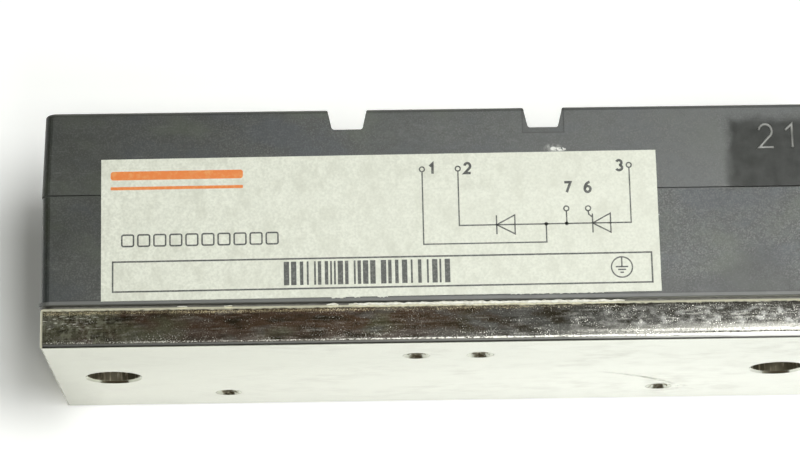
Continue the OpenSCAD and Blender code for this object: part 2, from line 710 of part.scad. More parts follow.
// Conical washer, standing on its inner edge
module disc_spring() rotate_extrude() polygon([
    [spring_id / 2, 0], [spring_od / 2, spring_cone_h], [spring_od / 2, spring_h], [spring_id / 2, spring_t]
]);
module lower_spring(side) color(steel) at_stack(side) translate([0, 0, spring_z]) disc_spring();
module upper_spring(side) color(steel) at_stack(side)
    translate([0, 0, spring_z + 2 * spring_h]) rotate([180, 0, 0]) disc_spring();

// Diagonal bar with round ends, two screw holes and a spigot for the springs
module clamp_bridge(side) color(steel) at_stack(side) rotate(side > 0 ? clamp_deg : 180 - clamp_deg) difference() {
    union() {
        translate([0, 0, bridge_z]) linear_extrude(bridge_t) polygon(concat(
            arc([clamp_span / 2, 0], bridge_w / 2, -90, 90, well_steps),
            arc([-clamp_span / 2, 0], bridge_w / 2, 90, 270, well_steps)
        ));
        translate([0, 0, bridge_z - spigot_h])
            cylinder(d = min(spring_id, bridge_w) - 2 * clear, h = spigot_h + bridge_t / 2);
    }
    for (end = [-1, 1]) translate([end * clamp_span / 2, 0, bridge_z - past])
        cylinder(d = sleeve_bore_d, h = bridge_t + 2 * past);
}

// Four slotted screws from the bridges into the base plate
module clamp_screws() color(steel) at_clamp_screws() difference() {
    head_z = bridge_z + bridge_t;
    union() {
        translate([0, 0, screw_end_h]) cylinder(d = screw_core_d - clear / 2, h = base_t - screw_end_h + weld);
        translate([0, 0, base_t]) cylinder(d = screw_d, h = head_z - base_t + weld);
        translate([0, 0, head_z]) cylinder(d = screw_head_d, h = screw_head_h);
    }
    plate(screw_head_d + past, screw_slot_w, screw_head_h, head_z + screw_head_h / 2);
}

// Insulating tube around a clamp screw, from the base plate to its bridge
module screw_sleeve(x, y) color(ivory) translate([x, y, base_t]) difference() {
    cylinder(d = sleeve_d, h = bridge_z - base_t);
    translate([0, 0, -past]) cylinder(d = sleeve_bore_d, h = bridge_z - base_t + 2 * past);
}

// Headed pin that presses on the middle of the thyristor wafer
module gate_pin() color(nickel) at_stack(1) {
    translate([0, 0, upper_contact_z]) cylinder(d = gate_pin_d, h = gate_head_z - upper_contact_z + gate_head_h / 2);
    translate([0, 0, gate_head_z]) cylinder(d = gate_head_d, h = gate_head_h);
}

// Flanged bush that keeps the gate pin clear of the contact
module gate_bush() color(ivory) at_stack(1) difference() {
    union() {
        translate([0, 0, upper_contact_z]) cylinder(d = bush_d, h = busbar_t + bush_flange_t);
        translate([0, 0, pad_z]) cylinder(d = bush_flange_d, h = bush_flange_t);
    }
    translate([0, 0, upper_contact_z - past]) cylinder(d = gate_pin_d + clear, h = busbar_t + 2 * past);
}

// Small coil spring between the gate pin's head and the roof of the pad's chamber
module gate_spring() color(steel) at_stack(1) {
    turns = 3;
    turn_steps = 12;
    coil_r = (gate_spring_d - gate_wire_d) / 2;
    low = gate_spring_z + gate_wire_d / 2;
    rise = pad_z + gate_chamber_h - gate_wire_d / 2 - low;
    tube([for (i = [0 : turns * turn_steps])
        [coil_r * cos(360 * i / turn_steps), coil_r * sin(360 * i / turn_steps), low + rise * i / turns / turn_steps]],
        gate_wire_d, [0, 0, 1], wire_sides);
}

// Insulated leads of the gate tab and of the cathode tab
module lead(points) tube(route(points, lead_steps), lead_d, lead_aside, lead_sides);
module gate_lead() color([0.85, 0.83, 0.78]) lead(gate_route);
module cathode_lead() color([0.72, 0.20, 0.16]) lead(cathode_route);

base_plate();
base_seal();
lower_housing();
upper_housing();
side_label();
busbar_1();
busbar_2();
busbar_3();
terminal_nuts();
tab(gate_tab_x);  // gate_tab
tab(cathode_tab_x);  // cathode_tab
insulator(-1);  // insulator_left
insulator(1);  // insulator_right
moly_disc(-1);  // moly_disc_left
moly_disc(1);  // moly_disc_right
wafer(-1);  // diode_wafer
wafer(1);  // thyristor_wafer
pressure_pad(-1);  // pressure_pad_left
pressure_pad(1);  // pressure_pad_right
lower_spring(-1);  // lower_spring_left
lower_spring(1);  // lower_spring_right
upper_spring(-1);  // upper_spring_left
upper_spring(1);  // upper_spring_right
clamp_bridge(-1);  // clamp_bridge_left
clamp_bridge(1);  // clamp_bridge_right
clamp_screws();
screw_sleeve(-clamp_inner_x, -clamp_y);  // screw_sleeve_left_inner
screw_sleeve(-clamp_outer_x, clamp_y);  // screw_sleeve_left_outer
screw_sleeve(clamp_inner_x, -clamp_y);  // screw_sleeve_right_inner
screw_sleeve(clamp_outer_x, clamp_y);  // screw_sleeve_right_outer
gate_pin();
gate_bush();
gate_spring();
gate_lead();
cathode_lead();
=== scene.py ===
"""Dresses a two-element power semiconductor module and sets up its studio.

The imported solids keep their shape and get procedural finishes. The new pieces are the label's print,
the raised numbers, the squeezed-out sealant, the torn label edge and the threaded nuts. Lengths are
written in millimetres in the module's own frame: X to the right, -Y towards the label, Z up.
"""
import json
import logging
import math
from dataclasses import dataclass
from enum import Enum
from functools import partial, reduce

import bpy
import numpy as np
from mathutils import Matrix, Vector


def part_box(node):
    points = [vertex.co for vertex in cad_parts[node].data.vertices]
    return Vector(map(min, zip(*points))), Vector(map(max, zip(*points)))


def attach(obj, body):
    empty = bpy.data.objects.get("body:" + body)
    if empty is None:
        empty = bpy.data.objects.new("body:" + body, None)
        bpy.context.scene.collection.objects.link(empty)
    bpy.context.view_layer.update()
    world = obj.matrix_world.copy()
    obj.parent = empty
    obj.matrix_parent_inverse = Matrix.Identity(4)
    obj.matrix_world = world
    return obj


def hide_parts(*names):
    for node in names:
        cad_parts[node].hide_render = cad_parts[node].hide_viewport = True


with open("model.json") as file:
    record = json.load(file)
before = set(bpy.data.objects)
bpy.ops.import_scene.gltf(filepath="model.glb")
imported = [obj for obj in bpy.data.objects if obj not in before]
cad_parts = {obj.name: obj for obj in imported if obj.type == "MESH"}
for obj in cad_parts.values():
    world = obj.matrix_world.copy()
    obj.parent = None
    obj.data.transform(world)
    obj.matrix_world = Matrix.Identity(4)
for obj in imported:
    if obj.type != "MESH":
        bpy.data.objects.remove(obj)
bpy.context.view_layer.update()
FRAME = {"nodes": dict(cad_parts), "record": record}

MM = 0.001
ROOT = "root"
LOG = logging.getLogger("power_module")

Array = np.ndarray
Colour = tuple[float, float, float]
Point = tuple[float, float, float]
Spot = tuple[float, float]
Socket = bpy.types.NodeSocket
Material = bpy.types.Material
Level = float | Socket
Tone = Colour | Socket
Inputs = dict[str | int, Level | Tone | None]

# Sizes that several pieces share

TERMINALS = (-23.0, 0.0, 23.0)
DRAFT = math.radians(1.8)

# Levels that every noise and speck pattern shares

SPREAD: Spot = (0.3, 0.7)
WIDE_SPREAD: Spot = (0.25, 0.75)
EVEN: Point = (1.0, 1.0, 1.0)
SHIFT_WAY: Point = (1.0, 1.7, 0.6)
SPECK_CORE = 0.55
SHARP = 0.01


def box_mm(node: str) -> tuple[Point, Point]:
    """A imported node's lowest and highest corners in millimetres."""
    low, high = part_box(node)
    return tuple(side / MM for side in low), tuple(side / MM for side in high)


# Surfaces

@dataclass(frozen=True)
class Shell:
    """A closed surface: points in millimetres and the faces that join them."""

    points: Array
    faces: list[list[int]]


@dataclass(frozen=True)
class Face:
    """A flat face to draw on: u runs across it, v runs up it and h stands out from it."""

    origin: Point
    across: Point = (1.0, 0.0, 0.0)
    up: Point = (0.0, 0.0, 1.0)

    def put(self, u: Array, v: Array, h: Array) -> Array:
        """Places drawing coordinates in the module's frame: origin + u across + v up + h out.

        Args:
            u: Distances across the face.
            v: Distances up the face.
            h: Heights above the face.

        Returns:
            Points with one more axis than the inputs.
        """
        out = np.cross(self.across, self.up)
        return (
            np.array(self.origin)
            + u[..., None] * np.array(self.across)
            + v[..., None] * np.array(self.up)
            + h[..., None] * out
        )


@dataclass(frozen=True)
class LabelFace:
    """The label's front, which bends out over the joint and leans back with the upper housing."""

    centre: Spot
    front: float
    joint: float
    print_shift: float = 0.1
    tilt: float = math.radians(0.28)
    groove: float = 0.15
    bridge: float = 1.7
    step: float = 0.08

    def put(self, u: Array, v: Array, h: Array) -> Array:
        """Places label coordinates: turned by the tilt, with y read off the bent profile at that height.

        Args:
            u: Distances to the right of the label's centre.
            v: Distances above the label's centre.
            h: Heights above the paper.

        Returns:
            Points with one more axis than the inputs.
        """
        x = self.centre[0] + self.print_shift + u * math.cos(self.tilt) - v * math.sin(self.tilt)
        z = self.centre[1] + u * math.sin(self.tilt) + v * math.cos(self.tilt)
        bend = [self.joint - self.groove - self.bridge, self.joint]
        profile = np.interp(z, bend, [self.front + self.step, self.front])
        lean = np.maximum(z - self.joint, 0.0) * math.tan(DRAFT)
        return np.stack([x, profile + lean - h, z], axis=-1)


def grid_faces(rows: int, columns: int, loop: bool) -> Array:
    """Numbers the four-sided faces of a grid whose columns close on themselves.

    Args:
        rows: Points along the path.
        columns: Points round the section.
        loop: Whether the last row meets the first.

    Returns:
        An array of four point numbers per face.
    """
    first, second = np.meshgrid(np.arange(rows if loop else rows - 1), np.arange(columns), indexing="ij")
    below = (first + 1) % rows
    beside = (second + 1) % columns
    corners = (
        first * columns + second,
        first * columns + beside,
        below * columns + beside,
        below * columns + second,
    )
    return np.stack(corners, axis=-1).reshape(-1, 4)


def swept(face: Face | LabelFace, path: Array, section: Array, loop: bool = False) -> Shell:
    """Carries a section along a path that is drawn on a face.

    Point (i, k) lies at path_i + a_k m_i and stands h_k out of the face, where (a_k, h_k) is the section
    and m_i is the mitre of the two neighbouring normals, (n + n') / (1 + n.n').

    Args:
        face: The face that carries the drawing.
        path: Points (u, v) of the path.
        section: Points (a, h) of the section, anticlockwise, or one such section for each path point.
        loop: Whether the path closes on itself.

    Returns:
        A closed shell, capped at both ends unless it is a loop.
    """
    ahead = np.roll(path, -1, axis=0) - path
    if not loop:
        ahead[-1] = ahead[-2]
    ahead = ahead / np.linalg.norm(ahead, axis=1, keepdims=True)
    behind = np.roll(ahead, 1, axis=0)
    if not loop:
        behind[0] = ahead[0]
    normal = np.stack([-ahead[:, 1], ahead[:, 0]], axis=1)
    before = np.stack([-behind[:, 1], behind[:, 0]], axis=1)
    mitre = (normal + before) / (1.0 + np.sum(normal * before, axis=1, keepdims=True))
    count = section.shape[-2]
    sections = np.broadcast_to(section, (len(path), count, 2))
    spread = path[:, None, :] + sections[..., :1] * mitre[:, None, :]
    points = face.put(spread[..., 0], spread[..., 1], sections[..., 1]).reshape(-1, 3)
    faces = grid_faces(len(path), count, loop).tolist()
    if not loop:
        last = (len(path) - 1) * count
        faces.append(list(range(count - 1, -1, -1)))
        faces.append(list(range(last, last + count)))
    return Shell(points, faces)


def slab(face: Face | LabelFace, outline: Array, low: float, high: float) -> Shell:
    """Stands an outline up into a thin plate: the outline at height low joined to itself at height high.

    Args:
        face: The face that carries the plate.
        outline: Points (u, v), anticlockwise.
        low: Height of the lower side.
        high: Height of the upper side.

    Returns:
        A closed shell.
    """
    count = len(outline)
    heights = np.repeat([low, high], count)
    both = np.tile(outline, (2, 1))
    points = face.put(both[:, 0], both[:, 1], heights)
    ring = np.arange(count)
    beside = np.roll(ring, -1)
    sides = np.stack([ring, beside, beside + count, ring + count], axis=1).tolist()
    return Shell(points, [*sides, ring[::-1].tolist(), (ring + count).tolist()])


def flat_section(width: float, height: float, sunk: float) -> Array:
    """A rectangle of that width, from sunk below the face to height above it."""
    half = width / 2
    return np.array([(-half, -sunk), (half, -sunk), (half, height), (-half, height)])


def round_section(width: float, height: float, sunk: float, steps: int = 9) -> Array:
    """Half an ellipse, (width / 2 cos t, height sin t), on a foot that is sunk below the face.

    Args:
        width: Width of the section.
        height: Its height above the face.
        sunk: How far its foot goes below the face.
        steps: Points on the half ellipse.

    Returns:
        Points (a, h), anticlockwise.
    """
    turn = np.linspace(0.0, math.pi, steps)
    crown = np.stack([np.cos(turn) * width / 2, np.sin(turn) * height], axis=1)
    foot = np.array([(-width / 2, -sunk), (width / 2, -sunk)])
    return np.concatenate([crown, foot])


def arc(centre: Spot, radii: Spot, start: float, end: float, steps: int = 17) -> Array:
    """Points on an ellipse, centre + radii (cos t, sin t), from one angle to another in degrees."""
    turn = np.radians(np.linspace(start, end, steps))
    return np.array(centre) + np.stack([np.cos(turn), np.sin(turn)], axis=1) * np.array(radii)


def circle(centre: Spot, radius: float, steps: int = 28) -> Array:
    """Points once round a circle, without the first one again."""
    return arc(centre, (radius, radius), 0.0, 360.0, steps + 1)[:-1]


def rounded(centre: Spot, size: Spot, radius: float, steps: int = 6) -> Array:
    """Points of a rectangle with round corners: four quarter circles at its inner corners.

    Args:
        centre: Middle of the rectangle.
        size: Its width and height.
        radius: Radius of a corner.
        steps: Points on each corner.

    Returns:
        Points (u, v), anticlockwise.
    """
    quarter = np.linspace(0.0, 90.0, steps)
    turn = np.radians((np.arange(4)[:, None] * 90.0 + quarter).ravel())
    signs = np.repeat(np.array([(1, 1), (-1, 1), (-1, -1), (1, -1)]), steps, axis=0)
    inner = signs * (np.array(size) / 2 - radius)
    return np.array(centre) + inner + radius * np.stack([np.cos(turn), np.sin(turn)], axis=1)


def refined(path: Array, step: float, loop: bool = False) -> Array:
    """Adds points along a path so that it can follow a bent face, and keeps its corners.

    The points are read off the path at every multiple of step and at every corner, by running length.

    Args:
        path: Points (u, v).
        step: Largest distance between points.
        loop: Whether the path closes on itself.

    Returns:
        The finer path.
    """
    whole = np.concatenate([path, path[:1]]) if loop else path
    lengths = np.linalg.norm(np.diff(whole, axis=0), axis=1)
    running = np.concatenate([[0.0], np.cumsum(lengths)])
    stations = np.union1d(np.round(running, 6), np.round(np.arange(0.0, running[-1], step), 6))
    fine = np.stack([np.interp(stations, running, whole[:, axis]) for axis in range(2)], axis=1)
    return fine[:-1] if loop else fine


def ripple(places: Array, seed: int, longest: float, shortest: float, waves: int = 12) -> Array:
    """A wavy line between about -1 and 1: a sum of sines with seeded phases and shrinking lengths.

    Args:
        places: Distances at which the line is read.
        seed: Chooses the phases.
        longest: Length of the longest wave.
        shortest: Length of the shortest wave.
        waves: How many sines are summed.

    Returns:
        One value for each place.
    """
    phases = np.random.default_rng(seed).uniform(0.0, 2.0 * math.pi, waves)
    lengths = np.geomspace(longest, shortest, waves)
    weights = np.sqrt(lengths / longest)
    total = np.sin(places[:, None] * 2.0 * math.pi / lengths + phases) * weights
    return np.sum(total, axis=1) / math.sqrt(waves)


# Numerals

class Numeral(Enum):
    """The plain numbers that mark terminals and moulds."""

    ONE = 1
    TWO = 2
    THREE = 3
    SIX = 6
    SEVEN = 7


@dataclass(frozen=True)
class Stroke:
    """One pen stroke of a drawing, open or closed."""

    path: Array
    loop: bool = False


def numeral_strokes(numeral: Numeral) -> list[Stroke]:
    """Draws a number with lines and arcs in a box one unit tall and about 0.6 wide.

    Args:
        numeral: The number to draw.

    Returns:
        The strokes of the number.
    """
    if numeral is Numeral.ONE:
        return [Stroke(np.array([(0.06, 0.74), (0.34, 1.0), (0.34, 0.0)]))]
    if numeral is Numeral.TWO:
        bow = arc((0.29, 0.70), (0.27, 0.30), 170.0, -38.0)
        return [Stroke(np.concatenate([bow, [(0.02, 0.0), (0.60, 0.0)]]))]
    if numeral is Numeral.THREE:
        top = arc((0.27, 0.75), (0.25, 0.25), 155.0, -90.0)
        bottom = arc((0.27, 0.25), (0.29, 0.25), 90.0, -155.0)
        return [Stroke(top), Stroke(bottom)]
    if numeral is Numeral.SIX:
        bowl = arc((0.30, 0.29), (0.27, 0.29), 0.0, 360.0, 25)[:-1]
        stem = arc((0.62, 0.29), (0.59, 0.71), 180.0, 100.0)
        return [Stroke(bowl, True), Stroke(stem)]
    return [Stroke(np.array([(0.0, 1.0), (0.58, 1.0), (0.20, 0.0)]))]


def placed_strokes(numeral: Numeral, corner: Spot, height: float) -> list[Stroke]:
    """Puts a number's lower left corner at a point and gives it its height."""
    return [Stroke(np.array(corner) + s.path * height, s.loop) for s in numeral_strokes(numeral)]


# Node graphs

class Nodes:
    """A node tree and the plain steps that its graph is built from."""

    def __init__(self, tree: bpy.types.NodeTree) -> None:
        """Starts with the tree empty."""
        self.tree = tree
        self.tree.nodes.clear()

    def feed(self, socket: Socket, value: Level | Tone) -> None:
        """Links another node's output to a socket, or sets a constant on it.

        Args:
            socket: The input.
            value: An output, a number or a colour.
        """
        if isinstance(value, bpy.types.NodeSocket):
            self.tree.links.new(value, socket)
        elif socket.type == "RGBA":
            socket.default_value = (*value, 1.0)
        else:
            socket.default_value = value

    def node(self, kind: str, inputs: Inputs | None = None, **options: str | bool) -> bpy.types.Node:
        """Adds a node, sets its options and feeds its inputs.

        Args:
            kind: Blender's name of the node.
            inputs: What goes to each input, by its name or number; None leaves the input as it is.
            options: Values of the node's own options.

        Returns:
            The new node.
        """
        made = self.tree.nodes.new(kind)
        for option, value in options.items():
            setattr(made, option, value)
        for place, value in (inputs or {}).items():
            if value is not None:
                self.feed(made.inputs[place], value)
        return made

    def parts(self, vector: Socket) -> list[Socket]:
        """The x, y and z parts of a vector."""
        return list(self.node("ShaderNodeSeparateXYZ", {0: vector}).outputs)

    def math(self, operation: str, first: Level, second: Level = 0.0) -> Socket:
        """One arithmetic step on two numbers."""
        return self.node("ShaderNodeMath", {0: first, 1: second}, operation=operation).outputs[0]

    def both(self, *masks: Level) -> Socket:
        """The product of masks and of a share, if one is given: where all of them hold."""
        return reduce(partial(self.math, "MULTIPLY"), masks)

    def either(self, *masks: Level) -> Socket:
        """The largest of masks: where any of them holds."""
        return reduce(partial(self.math, "MAXIMUM"), masks)

    def total(self, *values: Level) -> Socket:
        """The sum of numbers."""
        return reduce(partial(self.math, "ADD"), values)

    def off(self, value: Socket, centre: float = 0.0) -> Socket:
        """How far a number lies from a centre, to either side."""
        return self.math("ABSOLUTE", self.math("SUBTRACT", value, centre))

    def span(self, value: Socket, low: float, high: float, bottom: Level, top: Level) -> Socket:
        """Maps low to high on to bottom to top in a straight line, and holds the ends."""
        inputs = dict(enumerate((value, low, high, bottom, top)))
        return self.node("ShaderNodeMapRange", inputs, clamp=True).outputs[0]

    def band(self, value: Socket, low: float, high: float) -> Socket:
        """Rises softly from 0 at low to 1 at high; it falls where low is the larger."""
        inputs = {0: value, 1: low, 2: high}
        return self.node("ShaderNodeMapRange", inputs, interpolation_type="SMOOTHSTEP").outputs[0]

    def window(self, value: Socket, low: float, high: float, soft: float) -> Socket:
        """Is 1 between low and high, with soft edges of that width."""
        rise = self.band(value, low - soft / 2, low + soft / 2)
        return self.both(rise, self.band(value, high + soft / 2, high - soft / 2))

    def ranged(self, noise: Socket, bottom: float, top: float, spread: Spot = SPREAD) -> Socket:
        """Maps the spread that most of a noise's values fill on to a range."""
        return self.span(noise, *spread, bottom, top)

    def wander(self, value: Socket, noise: Socket, reach: float, spread: Spot = SPREAD) -> Socket:
        """A number that a noise moves up and down by at most that reach."""
        return self.total(value, self.ranged(noise, -reach, reach, spread))

    def mix(self, factor: Socket, first: Level, second: Level) -> Socket:
        """Goes from the first number to the second as the factor rises."""
        inputs = {0: factor, 2: first, 3: second}
        return self.node("ShaderNodeMix", inputs, data_type="FLOAT").outputs[0]

    def blend(self, factor: Socket, first: Tone, second: Tone) -> Socket:
        """Goes from the first colour to the second as the factor rises."""
        inputs = {0: factor, 6: first, 7: second}
        return self.node("ShaderNodeMix", inputs, data_type="RGBA").outputs[2]

    def coats(self, base: Tone, *coats: tuple[Socket, Tone]) -> Socket:
        """Lays colours over a base in order, each where its mask holds."""
        return reduce(lambda under, coat: self.blend(coat[0], under, coat[1]), coats, base)


class Graph(Nodes):
    """One material's nodes, on object coordinates in millimetres."""

    def __init__(self, name: str) -> None:
        """Starts an empty material with its coordinates ready.

        Args:
            name: The material's name.
        """
        self.material = bpy.data.materials.new(name)
        self.material.use_nodes = True
        super().__init__(self.material.node_tree)
        inputs = {0: self.node("ShaderNodeTexCoord").outputs["Object"], "Scale": 1.0 / MM}
        self.place = self.node("ShaderNodeVectorMath", inputs, operation="SCALE").outputs[0]
        self.x, self.y, self.z = self.parts(self.place)

    def mapped(self, size: float, stretch: Point, shift: float) -> Socket:
        """The coordinates divided by a pattern size, pulled out along the axes and moved.

        Args:
            size: Size of the pattern's spots.
            stretch: How much longer the spots are along each axis.
            shift: How far the pattern is moved.

        Returns:
            The pattern's own coordinates.
        """
        scale = tuple(1.0 / (size * longer) for longer in stretch)
        location = tuple(shift * way for way in SHIFT_WAY)
        inputs = {"Vector": self.place, "Scale": scale, "Location": location}
        return self.node("ShaderNodeMapping", inputs).outputs[0]

    def noise(self, size: float, detail: float = 2.0, stretch: Point = EVEN, shift: float = 0.0) -> Socket:
        """Soft random mottling with spots of about that size.

        Args:
            size: Size of the spots.
            detail: How many finer layers are added.
            stretch: How much longer the spots are along each axis.
            shift: Moves the pattern, so that two of them differ.

        Returns:
            A value from 0 to 1, mostly near the middle.
        """
        inputs = {"Vector": self.mapped(size, stretch, shift), "Scale": 1.0, "Detail": detail}
        return self.node("ShaderNodeTexNoise", inputs).outputs[0]

    def specks(
        self, spacing: float, radius: float, share: float, stretch: Point = EVEN, shift: float = 0.0
    ) -> Socket:
        """Scattered spots: points of a random cell pattern that lie close to a cell's own point.

        Args:
            spacing: Distance between the cells' points.
            radius: Radius of a spot.
            share: The share of the cells that have a spot.
            stretch: How much longer the spots are along each axis.
            shift: Moves the pattern, so that two of them differ.

        Returns:
            A mask that is 1 inside the spots.
        """
        inputs = {"Vector": self.mapped(spacing, stretch, shift), "Scale": 1.0}
        cells = self.node("ShaderNodeTexVoronoi", inputs)
        chance = self.node("ShaderNodeSeparateColor", {0: cells.outputs["Color"]}).outputs[0]
        edge = radius / spacing
        inside = self.band(cells.outputs["Distance"], edge, edge * SPECK_CORE)
        return self.both(inside, self.band(chance, 1.0 - share, 1.0 - share + SHARP))

    def distance(self, centre: Spot) -> Socket:
        """Distance from an upright axis.

        Args:
            centre: The point (x, y) that the axis goes through.

        Returns:
            The distance in millimetres.
        """
        flat = self.node("ShaderNodeCombineXYZ", {0: self.x, 1: self.y})
        inputs = {0: flat.outputs[0], 1: (*centre, 0.0)}
        return self.node("ShaderNodeVectorMath", inputs, operation="DISTANCE").outputs["Value"]

    def upward(self) -> Socket:
        """The upward part of the true surface normal."""
        return self.parts(self.node("ShaderNodeNewGeometry").outputs["True Normal"])[2]

    def bump(self, height: Socket, depth: float, under: Socket | None = None) -> Socket:
        """Tilts the normal as if the surface rose by depth where the height goes from 0 to 1."""
        inputs = {"Strength": 1.0, "Distance": depth * MM, "Height": height, "Normal": under}
        return self.node("ShaderNodeBump", inputs).outputs[0]

    def surface(
        self, colour: Tone, roughness: Level, metallic: Level, normal: Socket, specular: Level = 0.5
    ) -> Material:
        """Ends the graph in a shader.

        Args:
            colour: Base colour.
            roughness: Roughness.
            metallic: 1 for metal, 0 for anything else.
            normal: The bumped normal.
            specular: Specular level of a surface that isn't metal.

        Returns:
            The finished material.
        """
        inputs = {
            "Base Color": colour,
            "Roughness": roughness,
            "Metallic": metallic,
            "Normal": normal,
            "Specular IOR Level": specular,
        }
        return self.end(self.node("ShaderNodeBsdfPrincipled", inputs).outputs[0])

    def end(self, shader: Socket) -> Material:
        """Joins a shader to the material's output."""
        self.node("ShaderNodeOutputMaterial", {"Surface": shader})
        return self.material


# Finishes

@dataclass(frozen=True)
class HousingFinish:
    """Black moulded plastic: fine grain, cloudy sheen, scuffs, specks and a glossier marking field, with
    painted sheen, highlights and shade.

    A pair of places is where a mask starts and where it is full, along the axis in its name.
    """

    name: str = "housing_plastic"
    deep: Colour = (0.023, 0.0245, 0.0215)
    pale: Colour = (0.035, 0.038, 0.0355)
    # Dark of the grain's pits, also used for painted shade.
    pit_and_shade: Colour = (0.008, 0.009, 0.008)
    grit: Colour = (0.115, 0.120, 0.114)
    sage: Colour = (0.062, 0.078, 0.069)
    umber: Colour = (0.006, 0.010, 0.001)
    cool: Colour = (0.026, 0.036, 0.056)
    moss: Colour = (0.060, 0.074, 0.046)
    scuffed: Colour = (0.15, 0.155, 0.15)
    # Paler grey of the painted highlights on the lip and along the top edge.
    highlight_grey: Colour = (0.105, 0.107, 0.100)
    # Paler grey of the painted sheen on the upper housing, stronger towards the right.
    sheen_grey: Colour = (0.082, 0.087, 0.085)
    chalk: Colour = (0.72, 0.72, 0.68)
    shaded: Colour = (0.07, 0.07, 0.06)
    lit_foot: Colour = (0.30, 0.30, 0.28)
    front_y: Spot = (-15.9, -16.1)
    upper_z: Spot = (18.0, 18.1)
    grain_x: Spot = (-40.0, 40.0)
    sage_x: Spot = (-35.0, 30.0)
    umber_x: Spot = (-15.0, -46.0)
    darker_low_x: Spot = (-20.0, 20.0)
    darker_low_z: Spot = (11.0, 7.0)
    lip_y: Spot = (16.5, 16.7)
    lip_z: Spot = (5.54, 5.50)
    # Where the painted shade line along the top of the lip lies.
    shade_line_z: Spot = (5.54, 5.66)
    foot_z: Spot = (5.02, 4.98)
    foot_x: Spot = (-5.0, 28.0)
    rim_z: Spot = (27.75, 28.2)
    rim_turn: Spot = (0.08, 0.35)
    # Where the painted sheen starts and is full, across and up.
    sheen_x: Spot = (-25.0, 30.0)
    sheen_z: Spot = (18.05, 18.25)
    field_x: Spot = (33.1, 46.2)
    field_top_z: Spot = (27.3, 25.6)
    field_foot_z: Spot = (18.05, 18.15)
    scuff_x: Spot = (-6.0, 1.5)
    scuff_z: Spot = (23.6, 26.6)
    notch_x: float = 11.5
    notch_rim: Spot = (2.45, 25.1)
    chip: Spot = (13.25, 23.02)
    chip_size: Spot = (1.0, 0.26)
    chip_core: Spot = (12.6, 23.10)
    core_size: Spot = (0.42, 0.30)
    halo_size: Spot = (1.3, 0.75)

    def front_mask(self, g: Graph) -> Socket:
        """The front face."""
        return g.band(g.y, *self.front_y)

    def upper_mask(self, g: Graph) -> Socket:
        """The upper housing, from the joint upwards."""
        return g.band(g.z, *self.upper_z)

    def field_mask(self, g: Graph) -> Socket:
        """The glossier field at the right of the front face, with soft outer edges.

        Args:
            g: The material's graph.

        Returns:
            The mask.
        """
        blur = g.noise(1.8, 1.0, shift=33.0)
        across = g.window(g.wander(g.x, blur, 0.3), *self.field_x, 1.6)
        below = g.band(g.wander(g.z, blur, 0.3), *self.field_top_z)
        return g.both(across, below, g.band(g.z, *self.field_foot_z), self.front_mask(g))

    def notch_mask(self, g: Graph) -> Socket:
        """The shallow rim around the right notch: painted shade, a band with a dark line at its outer edge.

        Args:
            g: The material's graph.

        Returns:
            The mask.
        """
        half, floor = self.notch_rim
        aside = g.math("SUBTRACT", g.off(g.x, self.notch_x), half)
        beyond = g.either(aside, g.math("SUBTRACT", floor, g.z))
        line = g.both(g.window(beyond, -0.10, 0.04, 0.08), 0.8)
        return g.either(line, g.both(g.band(beyond, 0.05, -0.05), 0.3))

    def lit_lip_mask(self, g: Graph) -> Socket:
        """The lip along the foot, painted paler than the faces above it as a highlight where it catches the
        light.
        """
        return g.both(g.band(g.z, *self.lip_z), g.band(g.off(g.y), *self.lip_y))

    def oval(self, g: Graph, centre: Spot, size: Spot) -> Socket:
        """The squared distance from a spot on the front face, in units of an oval's half axes.

        Args:
            g: The material's graph.
            centre: The spot (x, z).
            size: The half axes.

        Returns:
            A value that is 1 on the oval.
        """
        across = g.math("DIVIDE", g.off(g.x, centre[0]), size[0])
        upward = g.math("DIVIDE", g.off(g.z, centre[1]), size[1])
        return g.total(g.both(across, across), g.both(upward, upward))

    def chip_mask(self, g: Graph) -> Socket:
        """A chalky chip over the label's upper edge: a white core, broken crumbs and a thin halo.

        Args:
            g: The material's graph.

        Returns:
            The mask.
        """
        broken = g.noise(0.22, 3.0, shift=31.0)
        rays = g.span(g.noise(0.3, 2.0, (1.0, 1.0, 2.5), 35.0), 0.4, 0.65, 0.0, 0.4)
        core = g.band(self.oval(g, self.chip_core, self.core_size), 1.0, 0.3)
        crumbs = g.band(self.oval(g, self.chip, self.chip_size), 1.0, 0.5)
        halo = g.band(self.oval(g, self.chip_core, self.halo_size), 1.0, 0.0)
        marks = g.either(
            g.both(core, g.band(broken, 0.28, 0.42)),
            g.both(crumbs, g.band(broken, 0.44, 0.58)),
            g.both(halo, rays),
        )
        return g.both(marks, self.front_mask(g))

    def scuff_mask(self, g: Graph, mottle: Socket) -> Socket:
        """Long faint scuffs all over, and a scuffed patch under the upper edge.

        Args:
            g: The material's graph.
            mottle: The noise that breaks the scuffs up.

        Returns:
            The mask.
        """
        streak = g.noise(0.35, 2.0, (9.0, 9.0, 0.7), 19.0)
        patch = g.noise(0.5, 4.0, (1.8, 1.8, 1.0), 23.0)
        place = g.both(g.window(g.x, *self.scuff_x, 2.5), g.window(g.z, *self.scuff_z, 1.2))
        return g.either(
            g.both(g.band(streak, 0.60, 0.74), g.band(mottle, 0.45, 0.65), 0.45),
            g.both(place, g.band(patch, 0.40, 0.80), 0.3),
        )

